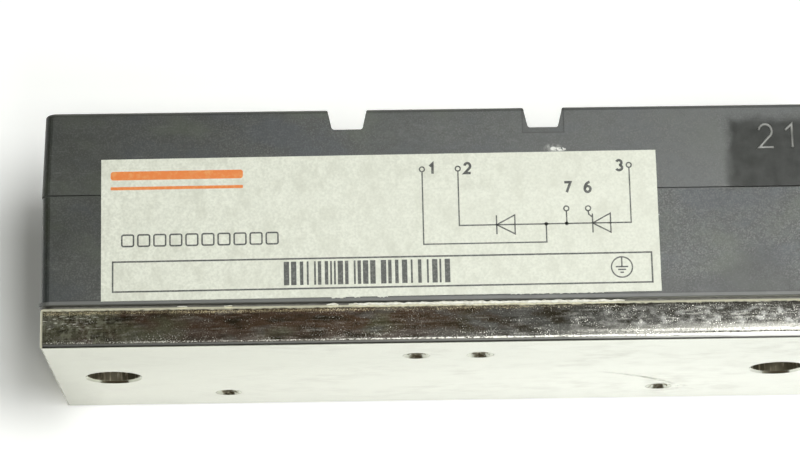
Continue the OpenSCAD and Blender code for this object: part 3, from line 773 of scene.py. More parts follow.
    def plastic_tone(self, g: Graph, grain: Socket, mottle: Socket, cloud: Socket) -> Socket:
        """The plastic's colour: mottling, grain that is clearer to the right, slow drifts of hue, and darker
        towards the left end and towards the bottom of the right half.

        Args:
            g: The material's graph.
            grain: The finest noise.
            mottle: A noise of small spots.
            cloud: A noise of wide spots.

        Returns:
            The colour.
        """
        soft = g.noise(0.7, 4.0, (1.5, 1.5, 1.0), 27.0)
        drift = g.noise(5.0, 3.0, (1.5, 1.5, 1.0), 45.0)
        clear = g.span(g.wander(g.x, cloud, 30.0), *self.grain_x, 0.35, 0.85)
        clear = g.both(clear, g.mix(self.upper_mask(g), 1.15, 0.9))
        darker_low = g.both(g.band(g.wander(g.z, cloud, 3.0), *self.darker_low_z), g.band(g.x, *self.darker_low_x))
        return g.coats(
            g.blend(g.band(mottle, 0.2, 0.85), self.deep, self.pale),
            (g.both(g.band(grain, 0.50, 0.36), clear), self.pit_and_shade),
            (g.both(g.band(grain, 0.50, 0.64), clear), self.grit),
            (g.both(g.band(soft, 0.38, 0.72), g.span(g.x, *self.sage_x, 0.15, 0.55)), self.sage),
            (g.both(g.band(drift, 0.50, 0.68), 0.35), self.cool),
            (g.both(g.band(drift, 0.50, 0.32), 0.5), self.moss),
            # Darker towards the left end.
            (g.span(g.x, *self.umber_x, 0.0, 0.4), self.umber),
            # Darker towards the bottom of the right half.
            (g.both(darker_low, 0.6), self.pit_and_shade),
        )

    def dress(self) -> Material:
        """Builds the material.

        Returns:
            The finished material.
        """
        g = Graph(self.name)
        grain = g.noise(0.18, 3.0)
        mottle = g.noise(1.3, 2.0, shift=7.0)
        cloud = g.noise(9.0, 1.0, shift=13.0)
        field_mask = self.field_mask(g)
        foot = g.blend(g.span(g.x, *self.foot_x, 0.0, 1.0), self.shaded, self.lit_foot)
        # Painted sheen: the upper housing is painted paler towards the right, where the lamps' sheen falls.
        painted_sheen = g.both(g.span(g.x, *self.sheen_x, 0.0, 0.75), g.band(g.z, *self.sheen_z))
        specks = g.specks(4.2, 0.09, 0.16, shift=3.0)
        base = g.coats(
            self.plastic_tone(g, grain, mottle, cloud),
            # Painted highlight on the lip.
            (self.lit_lip_mask(g), self.highlight_grey),
            (g.band(g.z, *self.foot_z), foot),
            # Painted shade: a dark line in the crease along the top of the lip.
            (g.both(g.window(g.z, *self.shade_line_z, 0.06), 0.7), self.pit_and_shade),
            (self.scuff_mask(g, mottle), self.scuffed),
            # Painted highlight along the rounding of the top edge.
            (g.both(g.band(g.z, *self.rim_z), g.band(g.upward(), *self.rim_turn), 0.8), self.highlight_grey),
            (g.both(painted_sheen, g.span(mottle, 0.2, 0.8, 0.6, 1.0)), self.sheen_grey),
            (g.both(field_mask, 0.9), self.deep),
            # Painted shade along the notch's rim.
            (self.notch_mask(g), self.pit_and_shade),
            (g.either(g.both(specks, 0.6), self.chip_mask(g)), self.chalk),
        )
        rough = g.mix(field_mask, g.wander(g.ranged(mottle, 0.42, 0.47), cloud, 0.03), 0.33)
        shine = g.mix(self.upper_mask(g), g.ranged(cloud, 0.33, 0.47), 0.5)
        shine = g.mix(field_mask, shine, g.ranged(mottle, 0.15, 0.25))
        return g.surface(base, rough, 0.0, g.bump(grain, 0.006), shine)


@dataclass(frozen=True)
class NickelFinish:
    """Bright nickel on copper: a stained mirror underside, tarnished sheared sides, sooty bores, with
    painted reflection, glints and edge highlights.

    A pair of places is where a mask starts and where it is full, along the axis in its name. A pair of
    drops is the same, measured down from the top or in from the ends.
    """

    half_length: float
    half_width: float
    thickness: float
    name: str = "nickel_plate"
    # Underside colours at the right and left ends; the darker left is painted reflected shade.
    bright: Colour = (0.637, 0.650, 0.583)
    dull: Colour = (0.460, 0.468, 0.385)
    stain: Colour = (0.43, 0.43, 0.36)
    nicked: Colour = (0.26, 0.25, 0.19)
    brown: Colour = (0.024, 0.0152, 0.0098)
    green: Colour = (0.032, 0.031, 0.019)
    grey: Colour = (0.046, 0.045, 0.041)
    slate: Colour = (0.019, 0.0185, 0.0165)
    # Grey of the painted lamp reflection towards the right and the foot.
    ash: Colour = (0.046, 0.045, 0.042)
    # Grey of the painted reflection patches at the right of the sides.
    reflected_grey: Colour = (0.21, 0.21, 0.20)
    mould: Colour = (0.085, 0.085, 0.062)
    black: Colour = (0.006, 0.005, 0.003)
    spark: Colour = (0.58, 0.57, 0.52)
    gold: Colour = (0.42, 0.36, 0.22)
    # Cream of the painted highlight on the sides' crest and corners.
    edge_highlight: Colour = (0.82, 0.79, 0.62)
    shaded: Colour = (0.054, 0.054, 0.050)
    soot: Colour = (0.22, 0.20, 0.145)
    worn: Colour = (0.66, 0.61, 0.47)
    mounts: tuple[Spot, ...] = ((-40.0, 0.0), (40.0, 0.0))
    mount_wall: Spot = (3.20, 3.15)
    pins: tuple[Spot, ...] = ((-3.75, -9.9), (3.75, -9.9), (-26.6, 9.9), (26.6, 9.9))
    pin_wall: Spot = (1.31, 1.11)
    sink_rim: Spot = (1.51, 1.63)
    smudge: Spot = (27.9, 10.1)
    smudge_reach: Spot = (3.2, 0.6)
    scratch_centre: Spot = (9.5, 22.0)
    scratch_r: float = 23.2
    scratch_x: Spot = (18.5, 28.0)
    scratch_start_y: Spot = (-1.5, 4.0)
    scratch_end_y: Spot = (10.5, 9.0)
    bright_x: Spot = (-46.0, 24.0)
    edge_drops: Spot = (0.7, 0.5)
    corner_drops: Spot = (0.36, 0.24)
    crest_drops: Spot = (0.52, 0.28)
    seam_drops: Spot = (0.95, 0.6)
    seam_x: Spot = (26.0, 6.0)
    left_x: Spot = (24.0, 4.0)
    right_x: Spot = (10.0, 48.0)
    low_z: Spot = (2.1, 0.5)
    low_x: Spot = (-20.0, 40.0)
    hue_x: Spot = (-42.0, -25.0)
    slate_x: Spot = (-8.0, 10.0)
    # Where the painted dark band at the top of the sides' right part starts and is full.
    shaded_upper_z: Spot = (2.5, 3.5)
    # Heights of the painted grey reflection patches.
    reflection_z: Spot = (1.5, 3.7)
    mouldy_x: Spot = (-35.0, -42.0)
    # Where the painted glints grow denser towards the foot, and how they strengthen to the right.
    glints_z: Spot = (1.6, 0.6)
    glints_x: Spot = (-20.0, 25.0)
    blots_z: Spot = (1.2, 4.0)
    drawn_x: Spot = (-38.0, -42.0)
    drawn_z: Spot = (2.2, 4.2)
    gilt_z: Spot = (4.05, 4.45)
    bead_z: Spot = (0.48, 0.64)
    bead_x: Spot = (-30.0, 18.0)
    ridge_z: Spot = (1.02, 1.26)
    score_z: Spot = (0.73, 0.92)
    score_x: Spot = (22.0, 30.0)
    foot_z: Spot = (0.46, 0.38)
    under_turn: Spot = (-0.6, -0.95)
    side_turn: Spot = (-0.98, -0.85)
    lean: float = 0.044

    def bore_mask(self, g: Graph) -> Socket:
        """The walls of the mounting holes and, with a ragged edge, of the small countersunk holes.

        Args:
            g: The material's graph.

        Returns:
            The mask.
        """
        ragged = g.noise(0.4, 3.0, shift=57.0)
        mounts = [g.band(g.distance(spot), *self.mount_wall) for spot in self.mounts]
        pins = [g.band(g.wander(g.distance(spot), ragged, 0.36), *self.pin_wall) for spot in self.pins]
        return g.either(*mounts, *pins)

    def rim_mask(self, g: Graph) -> Socket:
        """Grime along the rims of the countersinks, broken up by noise, and a smudge beside one of them.

        Args:
            g: The material's graph.

        Returns:
            The mask.
        """
        rims = [g.window(g.distance(spot), *self.sink_rim, 0.06) for spot in self.pins]
        broken = g.band(g.noise(0.8, 2.0, shift=51.0), 0.36, 0.52)
        blotchy = g.band(g.noise(0.9, 3.0, shift=71.0), 0.40, 0.75)
        smudge = g.band(g.distance(self.smudge), *self.smudge_reach)
        return g.either(g.both(g.either(*rims), broken), g.both(smudge, blotchy, 0.9))

    def scratch_mask(self, g: Graph) -> Socket:
        """One long curved scratch under the plate, a thin arc beside the right small hole.

        Args:
            g: The material's graph.

        Returns:
            The mask.
        """
        return g.both(
            g.band(g.off(g.distance(self.scratch_centre), self.scratch_r), 0.60, 0.0),
            g.window(g.x, *self.scratch_x, 2.0),
            g.band(g.y, *self.scratch_start_y),
            g.band(g.y, *self.scratch_end_y),
            g.span(g.noise(0.8, 2.0, shift=89.0), 0.35, 0.65, 0.35, 1.0),
        )

    def side_mask(self, g: Graph) -> Socket:
        """The plate's outer sides with their round edges.

        Args:
            g: The material's graph.

        Returns:
            The mask.
        """
        ends = g.band(g.off(g.x), *(self.half_length - drop for drop in self.edge_drops))
        fronts = g.band(g.off(g.y), *(self.half_width - drop for drop in self.edge_drops))
        return g.both(g.either(ends, fronts), g.band(g.upward(), *self.side_turn))

    def lit_edge_mask(self, g: Graph) -> Socket:
        """The edges painted with a highlight: the ragged crest and the upright corners.

        Args:
            g: The material's graph.

        Returns:
            The mask.
        """
        ragged = g.noise(0.35, 3.0, (2.0, 1.0, 1.0), 59.0)
        crest = g.band(g.wander(g.z, ragged, 0.07), *(self.thickness - drop for drop in self.crest_drops))
        corner = g.band(g.off(g.x), *(self.half_length - drop for drop in self.corner_drops))
        return g.either(crest, g.both(corner, 0.8))

    def side_texture(self, g: Graph) -> Socket:
        """Patchy streaks along the sides with fine grain over them, from about -0.7 to 0.7.

        Args:
            g: The material's graph.

        Returns:
            The texture's height.
        """
        patches = g.span(g.noise(1.6, 3.0, (2.0, 1.0, 0.7), 83.0), 0.35, 0.65, 0.25, 1.0)
        streaks = g.ranged(g.noise(0.22, 4.0, (9.0, 9.0, 1.0), 43.0), -0.5, 0.5, WIDE_SPREAD)
        return g.wander(g.both(streaks, patches), g.noise(0.12, 2.0, shift=53.0), 0.26, WIDE_SPREAD)

    def tarnish_and_reflection_tone(self, g: Graph, right: Socket, low: Socket) -> Socket:
        """Brown and green above, grey below and to the right, clouded, with the sides' texture: real tarnish
        kept dark as a painted reflection of a dim room, paler below and to the right as painted lamp
        reflection.

        Args:
            g: The material's graph.
            right: Rises towards the right end.
            low: Rises towards the foot.

        Returns:
            The colour.
        """
        clouds = g.noise(1.3, 6.0, (2.6, 1.0, 0.8), 29.0)
        hue = g.total(g.noise(3.5, 2.0, (1.4, 1.0, 1.0), 67.0), g.span(g.x, *self.hue_x, 0.10, -0.11))
        shaded_upper = g.band(g.wander(g.z, clouds, 0.9), *self.shaded_upper_z)
        reflection_patches = g.band(g.noise(0.9, 4.0, (1.4, 1.0, 1.0), 107.0), 0.46, 0.66)
        mouldy = g.band(g.noise(0.7, 4.0, shift=109.0), 0.46, 0.66)
        texture = self.side_texture(g)
        # Paler towards the right and the foot, as painted lamp reflection.
        paler = g.either(right, low)
        return g.coats(
            # Real brown and green tarnish, kept very dark as painted reflection of a dim room.
            g.blend(g.band(hue, 0.40, 0.64), self.brown, self.green),
            (g.span(g.wander(g.x, clouds, 9.0), *self.slate_x, 0.0, 1.0), self.slate),
            (paler, self.ash),
            (g.both(g.band(clouds, 0.52, 0.74), 0.5), self.grey),
            (g.both(g.band(clouds, 0.50, 0.30), 0.85), self.black),
            # Painted lamp reflection at the lower right.
            (g.both(right, low, 0.8), self.spark),
            # Painted shade: the top of the sides stays dark at the right.
            (g.both(right, shaded_upper, 0.92), self.black),
            (g.both(g.band(texture, 0.0, -0.45), 0.7), self.black),
            # Painted reflection: grey patches at the right.
            (g.both(right, reflection_patches, g.window(g.z, *self.reflection_z, 0.8), 0.9), self.reflected_grey),
            (g.both(g.band(g.x, *self.mouldy_x), mouldy, 0.8), self.mould),
            # Painted glints on the texture, stronger where the sides are paler.
            (g.both(g.band(texture, 0.0, 0.45), g.mix(paler, 0.06, 0.28)), self.spark),
        )

    def glint_mask(self, g: Graph, right: Socket, seams: Socket) -> Socket:
        """Painted glints on the sides' fine grain and upright scores, denser along the seams and to the
        right.

        Args:
            g: The material's graph.
            right: Rises towards the right end.
            seams: The lines near the foot and the crest.

        Returns:
            The mask.
        """
        crumbs = g.noise(0.13, 2.0, shift=37.0)
        scores = g.noise(0.16, 1.0, (1.0, 1.0, 9.0), 73.0)
        patches = g.noise(1.4, 4.0, (1.5, 1.0, 0.8), 41.0)
        drawn = g.band(g.noise(0.15, 3.0, (5.0, 5.0, 1.0), 101.0), 0.54, 0.70)
        blots = g.either(g.specks(4.0, 0.6, 0.5, shift=4.0), g.specks(1.7, 0.3, 0.4, shift=6.0))
        crowded = g.total(
            crumbs,
            g.both(right, 0.07),
            g.both(seams, 0.10),
            g.ranged(patches, -0.10, 0.06, WIDE_SPREAD),
            g.span(g.z, *self.glints_z, 0.0, 0.06),
        )
        return g.either(
            g.both(g.band(crowded, 0.64, 0.78), g.span(g.x, *self.glints_x, 0.5, 0.85)),
            g.both(g.band(scores, 0.70, 0.78), g.band(patches, 0.52, 0.62), right, 0.8),
            g.both(blots, g.ranged(crumbs, 0.15, 0.75), right, g.window(g.z, *self.blots_z, 0.6)),
            g.both(drawn, g.band(g.x, *self.drawn_x), g.window(g.z, *self.drawn_z, 0.8), 0.45),
        )

    def flank_tone(self, g: Graph, side: Socket, lit_edge: Socket) -> Socket:
        """The sides: tarnish, then a gilt line, painted glints, painted highlight lines along the seams, a
        score and painted edge highlights.

        Args:
            g: The material's graph.
            side: Where the sides are.
            lit_edge: Where their edges carry the painted highlight.

        Returns:
            The colour.
        """
        slow = g.noise(3.0, 3.0, (2.0, 1.0, 1.0), 79.0)
        flecks = g.band(g.noise(0.15, 3.0, shift=103.0), 0.40, 0.70)
        chain = g.band(g.noise(0.17, 3.0, (2.0, 1.0, 1.0), 97.0), 0.40, 0.60)
        right = g.span(g.wander(g.x, slow, 8.0, WIDE_SPREAD), *self.right_x, 0.0, 1.0)
        low = g.span(g.wander(g.z, slow, 0.35, WIDE_SPREAD), *self.low_z, 0.0, 1.0)
        left = g.band(g.x, *self.left_x)
        low_line = g.window(g.z, *self.bead_z, 0.10)
        high_line = g.window(g.z, *(self.thickness - drop for drop in self.seam_drops), 0.4)
        seams = g.either(low_line, g.both(high_line, g.band(g.x, *self.seam_x)))
        gilt = g.window(g.wander(g.z, slow, 0.2, WIDE_SPREAD), *self.gilt_z, 0.4)
        bead = g.both(low_line, chain, g.span(g.x, *self.bead_x, 0.05, 1.0))
        ridge = g.both(right, g.window(g.z, *self.ridge_z, 0.12), chain)
        score = g.both(g.band(g.x, *self.score_x), g.window(g.z, *self.score_z, 0.06))
        glint_tone = g.blend(g.both(high_line, left), self.spark, self.gold)
        return g.coats(
            self.tarnish_and_reflection_tone(g, right, g.both(low, g.span(g.x, *self.low_x, 0.25, 1.0))),
            (g.both(side, left, gilt, flecks, 0.45), self.gold),
            # Painted glints.
            (g.both(side, self.glint_mask(g, right, seams)), glint_tone),
            # Painted highlight lines along the foot and, at the right, a little above it.
            (g.both(side, g.either(bead, ridge), 0.9), self.spark),
            (g.both(side, score, g.span(chain, 0.0, 1.0, 1.0, 0.5)), self.slate),
            # The foot's rounding: painted shade, turning to painted lamp reflection at the right.
            (g.both(side, g.band(g.z, *self.foot_z)), g.blend(right, self.shaded, self.reflected_grey)),
            # Painted highlight on the crest and the corners.
            (lit_edge, self.edge_highlight),
        )

    def mirror_tone(self, g: Graph, smear: Socket, flaw: Socket) -> Socket:
        """The underside: painted darker to the left as the table's shade mirrored in it, stained in patches,
        with dark nicks.

        Args:
            g: The material's graph.
            smear: The noise that breaks the stains up.
            flaw: Where it is nicked, scratched or smudged.

        Returns:
            The colour.
        """
        cloud = g.noise(9.0, 3.0, (1.3, 1.0, 1.0), 5.0)
        return g.coats(
            # Painted reflected shade: darker towards the left end.
            g.blend(g.span(g.x, *self.bright_x, 0.0, 1.0), self.dull, self.bright),
            (g.both(g.band(cloud, 0.36, 0.70), g.band(smear, 0.38, 0.70), 0.6), self.stain),
            (g.both(flaw, 0.7), self.nicked),
        )

    def dress(self) -> Material:
        """Builds the material.

        Returns:
            The finished material.
        """
        g = Graph(self.name)
        bores = self.bore_mask(g)
        side = self.side_mask(g)
        # Painted highlight on the sides' edges.
        lit_edge = g.both(side, self.lit_edge_mask(g))
        smear = g.noise(1.6, 4.0, (1.8, 1.0, 1.0), 11.0)
        nick = g.specks(3.6, 0.13, 0.30, (2.0, 1.0, 1.0), 2.0)
        under = g.band(g.upward(), *self.under_turn)
        flaw = g.both(under, g.either(nick, self.scratch_mask(g), self.rim_mask(g)))
        pits = g.band(g.noise(0.4, 3.0, (1.0, 1.0, 4.0), 61.0), 0.50, 0.75)
        colour = g.coats(
            self.mirror_tone(g, smear, flaw),
            (side, self.flank_tone(g, side, lit_edge)),
            (bores, g.blend(pits, self.soot, self.worn)),
        )
        rough = g.mix(side, g.ranged(smear, 0.07, 0.13), 0.44)
        rough = g.mix(lit_edge, rough, 0.30)
        rough = g.mix(g.either(bores, flaw), rough, 0.55)
        tilt = g.bump(g.both(g.z, -self.lean), 1.0)
        waves = g.bump(smear, 0.004, tilt)
        normal = g.bump(g.noise(0.5, 3.0, shift=47.0), 0.004, waves)
        return g.surface(colour, rough, g.mix(lit_edge, 1.0, 0.1), normal)


@dataclass(frozen=True)
class PaperFinish:
    """Off-white label stock with soft mottling and short fibres, painted lighter to the right as painted
    light.
    """

    name: str = "label_paper"
    shade: Colour = (0.640, 0.650, 0.560)
    light: Colour = (0.800, 0.810, 0.712)
    fibre: Colour = (0.52, 0.54, 0.47)
    aged: Colour = (0.540, 0.545, 0.455)
    # Paler paper of the painted light towards the right.
    lit_paper: Colour = (0.90, 0.91, 0.81)
    lit_paper_x: Spot = (-40.0, 28.0)

    def dress(self) -> Material:
        """Builds the material.

        Returns:
            The finished material.
        """
        g = Graph(self.name)
        mottle = g.noise(0.30, 4.0)
        cloud = g.noise(5.0, 2.0, shift=9.0)
        blotch = g.noise(1.1, 4.0, (1.0, 1.0, 1.6), 17.0)
        hairs = g.noise(0.22, 2.0, (2.5, 1.0, 1.0), 15.0)
        base = g.coats(
            g.blend(g.band(mottle, 0.25, 0.75), self.shade, self.light),
            (g.both(g.band(cloud, 0.45, 0.75), 0.25), self.shade),
            (g.both(g.band(blotch, 0.42, 0.74), 0.5), self.aged),
            (g.both(g.band(hairs, 0.62, 0.78), 0.3), self.fibre),
            # Painted light: paler towards the right.
            (g.span(g.x, *self.lit_paper_x, 0.0, 0.3), self.lit_paper),
        )
        return g.surface(base, g.ranged(mottle, 0.55, 0.68), 0.0, g.bump(mottle, 0.003), 0.35)


@dataclass(frozen=True)
class PrintFinish:
    """Printing ink that thins out over the paper's fibres."""

    name: str
    full: Colour
    thin: Colour
    size: float = 0.28

    def dress(self) -> Material:
        """Builds the material.

        Returns:
            The finished material.
        """
        g = Graph(self.name)
        patchy = g.noise(self.size, 2.0)
        base = g.blend(g.band(patchy, 0.42, 0.75), self.full, self.thin)
        return g.surface(base, g.ranged(patchy, 0.45, 0.6), 0.0, g.bump(patchy, 0.003), 0.4)


@dataclass(frozen=True)
class SealantFinish:
    """Silicone that was squeezed out or spread, with crumbs of dirt in it."""

    name: str
    clean: Colour
    dull: Colour
    dirt: Colour = (0.10, 0.09, 0.07)
    dirt_share: float = 0.10

    def dress(self) -> Material:
        """Builds the material.

        Returns:
            The finished material.
        """
        g = Graph(self.name)
        lumps = g.noise(0.5, 3.0)
        crumbs = g.specks(0.75, 0.10, self.dirt_share, (2.0, 1.0, 1.0))
        base = g.blend(g.band(lumps, 0.35, 0.7), self.clean, self.dull)
        base = g.blend(crumbs, base, self.dirt)
        return g.surface(base, g.ranged(lumps, 0.40, 0.60), 0.0, g.bump(lumps, 0.05))


class Lay(Enum):
    """Which way a metal's rolling or machining marks run, as a stretch along x, y and z."""

    ALONG_Y = (1.0, 14.0, 1.0)
    ALONG_Z = (1.0, 1.0, 14.0)
    CLOUDY = (1.0, 1.0, 1.0)


@dataclass(frozen=True)
class MetalFinish:
    """Plain or plated metal with fine marks along its lay and duller patches."""

    name: str
    clean: Colour
    dull: Colour
    roughness: Spot = (0.22, 0.38)
    lay: Lay = Lay.CLOUDY
    marks: float = 0.16
    polish: float = 0.7

    def wear(self, g: Graph) -> Socket | None:
        """Extra polished places; a plain metal has none."""
        return None

    def dress(self) -> Material:
        """Builds the material.

        Returns:
            The finished material.
        """
        g = Graph(self.name)
        marks = g.noise(self.marks, 2.0, self.lay.value)
        cloud = g.noise(2.4, 2.0, shift=6.0)
        tarnish = g.specks(2.2, 0.20, 0.25, shift=21.0)
        base = g.blend(g.band(cloud, 0.35, 0.7), self.clean, self.dull)
        base = g.blend(g.both(tarnish, 0.5), base, self.dull)
        rough = g.span(g.total(marks, g.both(cloud, 0.5)), 0.45, 1.05, *self.roughness)
        worn = self.wear(g)
        if worn is not None:
            base = g.blend(worn, base, self.clean)
            rough = g.mix(worn, rough, self.roughness[0] * self.polish)
        return g.surface(base, rough, 1.0, g.bump(marks, 0.004))


@dataclass(frozen=True)
class TerminalFinish(MetalFinish):
    """Plated terminal strip with rings where a screw head has turned."""

    ring: Spot = (3.5, 5.6)
    wave: float = 21.0

    def wear(self, g: Graph) -> Socket:
        """Broken rings round each screw hole: a fine wave of the distance from the hole.

        Args:
            g: The material's graph.

        Returns:
            The mask.
        """
        rings = []
        for x in TERMINALS:
            reach = g.distance((x, 0.0))
            wave = g.math("SINE", g.both(reach, self.wave))
            rings.append(g.both(g.window(reach, *self.ring, 0.5), g.band(wave, 0.1, 0.9)))
        return g.both(g.either(*rings), g.band(g.noise(1.8, 2.0, shift=33.0), 0.4, 0.62))


@dataclass(frozen=True)
class MouldedFinish:
    """Insulating plastic, ceramic, rubber or silicon: an even colour with grain of its own size."""

    name: str
    clean: Colour
    dull: Colour
    roughness: Spot = (0.45, 0.6)
    grain: float = 0.4
    depth: float = 0.006
    cloud_ratio: float = 9.0

    def dress(self) -> Material:
        """Builds the material.

        Returns:
            The finished material.
        """
        g = Graph(self.name)
        grain = g.noise(self.grain, 3.0)
        cloud = g.noise(self.grain * self.cloud_ratio, 1.0, shift=8.0)
        base = g.blend(g.band(cloud, 0.35, 0.7), self.clean, self.dull)
        base = g.blend(g.band(grain, 0.66, 0.8), base, self.dull)
        return g.surface(base, g.ranged(grain, *self.roughness), 0.0, g.bump(grain, self.depth))


FINISHES = {
    finish.name: finish
    for finish in (
        NickelFinish(*box_mm("base_plate")[1]),
        SealantFinish("adhesive", (0.12, 0.115, 0.095), (0.08, 0.075, 0.06)),
        HousingFinish(),
        PaperFinish(),
        PrintFinish("label_ink", (0.052, 0.055, 0.050), (0.15, 0.155, 0.14)),
        PrintFinish("label_accent", (0.78, 0.205, 0.028), (0.80, 0.31, 0.085), 0.5),
        TerminalFinish("terminal_metal", (0.72, 0.70, 0.65), (0.60, 0.57, 0.50), lay=Lay.ALONG_Y),
        MetalFinish("nut_steel", (0.62, 0.61, 0.55), (0.48, 0.46, 0.38)),
        MetalFinish("tab_metal", (0.74, 0.73, 0.69), (0.60, 0.59, 0.55), lay=Lay.ALONG_Z),
        MouldedFinish("insulator_ceramic", (0.80, 0.79, 0.75), (0.70, 0.68, 0.62)),
        MetalFinish("molybdenum", (0.50, 0.50, 0.52), (0.40, 0.40, 0.42), (0.32, 0.48)),
        MouldedFinish("silicon", (0.12, 0.13, 0.16), (0.09, 0.10, 0.13), (0.10, 0.22), 0.8, 0.001),
        MouldedFinish("pad_plastic", (0.76, 0.72, 0.62), (0.66, 0.61, 0.50)),
        MetalFinish("spring_steel", (0.42, 0.42, 0.43), (0.30, 0.30, 0.31), (0.34, 0.5)),
        MetalFinish("clamp_steel", (0.60, 0.60, 0.58), (0.50, 0.49, 0.44)),
        MouldedFinish("sleeve_plastic", (0.78, 0.75, 0.68), (0.70, 0.66, 0.58)),
        MouldedFinish("white_lead", (0.80, 0.78, 0.73), (0.70, 0.67, 0.61), (0.5, 0.65)),
        MouldedFinish("red_lead", (0.50, 0.05, 0.04), (0.38, 0.035, 0.03), (0.5, 0.65)),
    )
}
FRESH_SEALANT = SealantFinish("fresh_sealant", (0.86, 0.85, 0.77), (0.70, 0.68, 0.58))
RUBBED_PLASTIC = MouldedFinish("rubbed_plastic", (0.30, 0.30, 0.285), (0.10, 0.10, 0.095), (0.30, 0.42), 0.3)


# Pieces

def make_piece(
    name: str, shells: list[Shell], finish: Material, smooth: float = 0.0
) -> bpy.types.Object:
    """Joins closed shells in one mesh object that rides on the module.

    Args:
        name: The piece's name.
        shells: Closed surfaces in millimetres.
        finish: Its material.
        smooth: Edges that turn less than this angle, in degrees, are shaded smooth.

    Returns:
        The new object.
    """
    starts = np.cumsum([0, *(len(shell.points) for shell in shells)]).tolist()
    faces = [
        [number + start for number in face]
        for shell, start in zip(shells, starts)
        for face in shell.faces
    ]
    points = np.concatenate([shell.points for shell in shells]) * MM
    mesh = bpy.data.meshes.new(name)
    mesh.from_pydata(points.tolist(), [], faces)
    mesh.materials.append(finish)
    if smooth:
        mesh.shade_smooth()
        mesh.set_sharp_from_angle(angle=math.radians(smooth))
    mesh.validate()
    piece = bpy.data.objects.new(name, mesh)
    bpy.context.scene.collection.objects.link(piece)
    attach(piece, ROOT)
    LOG.info("piece %s: %d shells, %d faces", name, len(shells), len(faces))
    return piece


class Wardrobe:
    """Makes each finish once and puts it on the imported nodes."""

    def __init__(self) -> None:
        """Starts with no material made."""
        self.made: dict[str, Material] = {}

    def get(self, slot: str) -> Material:
        """The material of a record slot, made when it is first asked for.

        Args:
            slot: The slot's name.

        Returns:
            The material.
        """
        if slot not in self.made:
            self.made[slot] = FINISHES[slot].dress()
        return self.made[slot]

    def dress_nodes(self) -> None:
        """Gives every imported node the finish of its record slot."""
        for part in FRAME["record"]["subparts"]:
            node = FRAME["nodes"][part["node"]]
            finish = self.get(part["material_slot"])
            for slot in node.material_slots:
                slot.material = finish
            LOG.info("node %s: %s", part["node"], part["material_slot"])


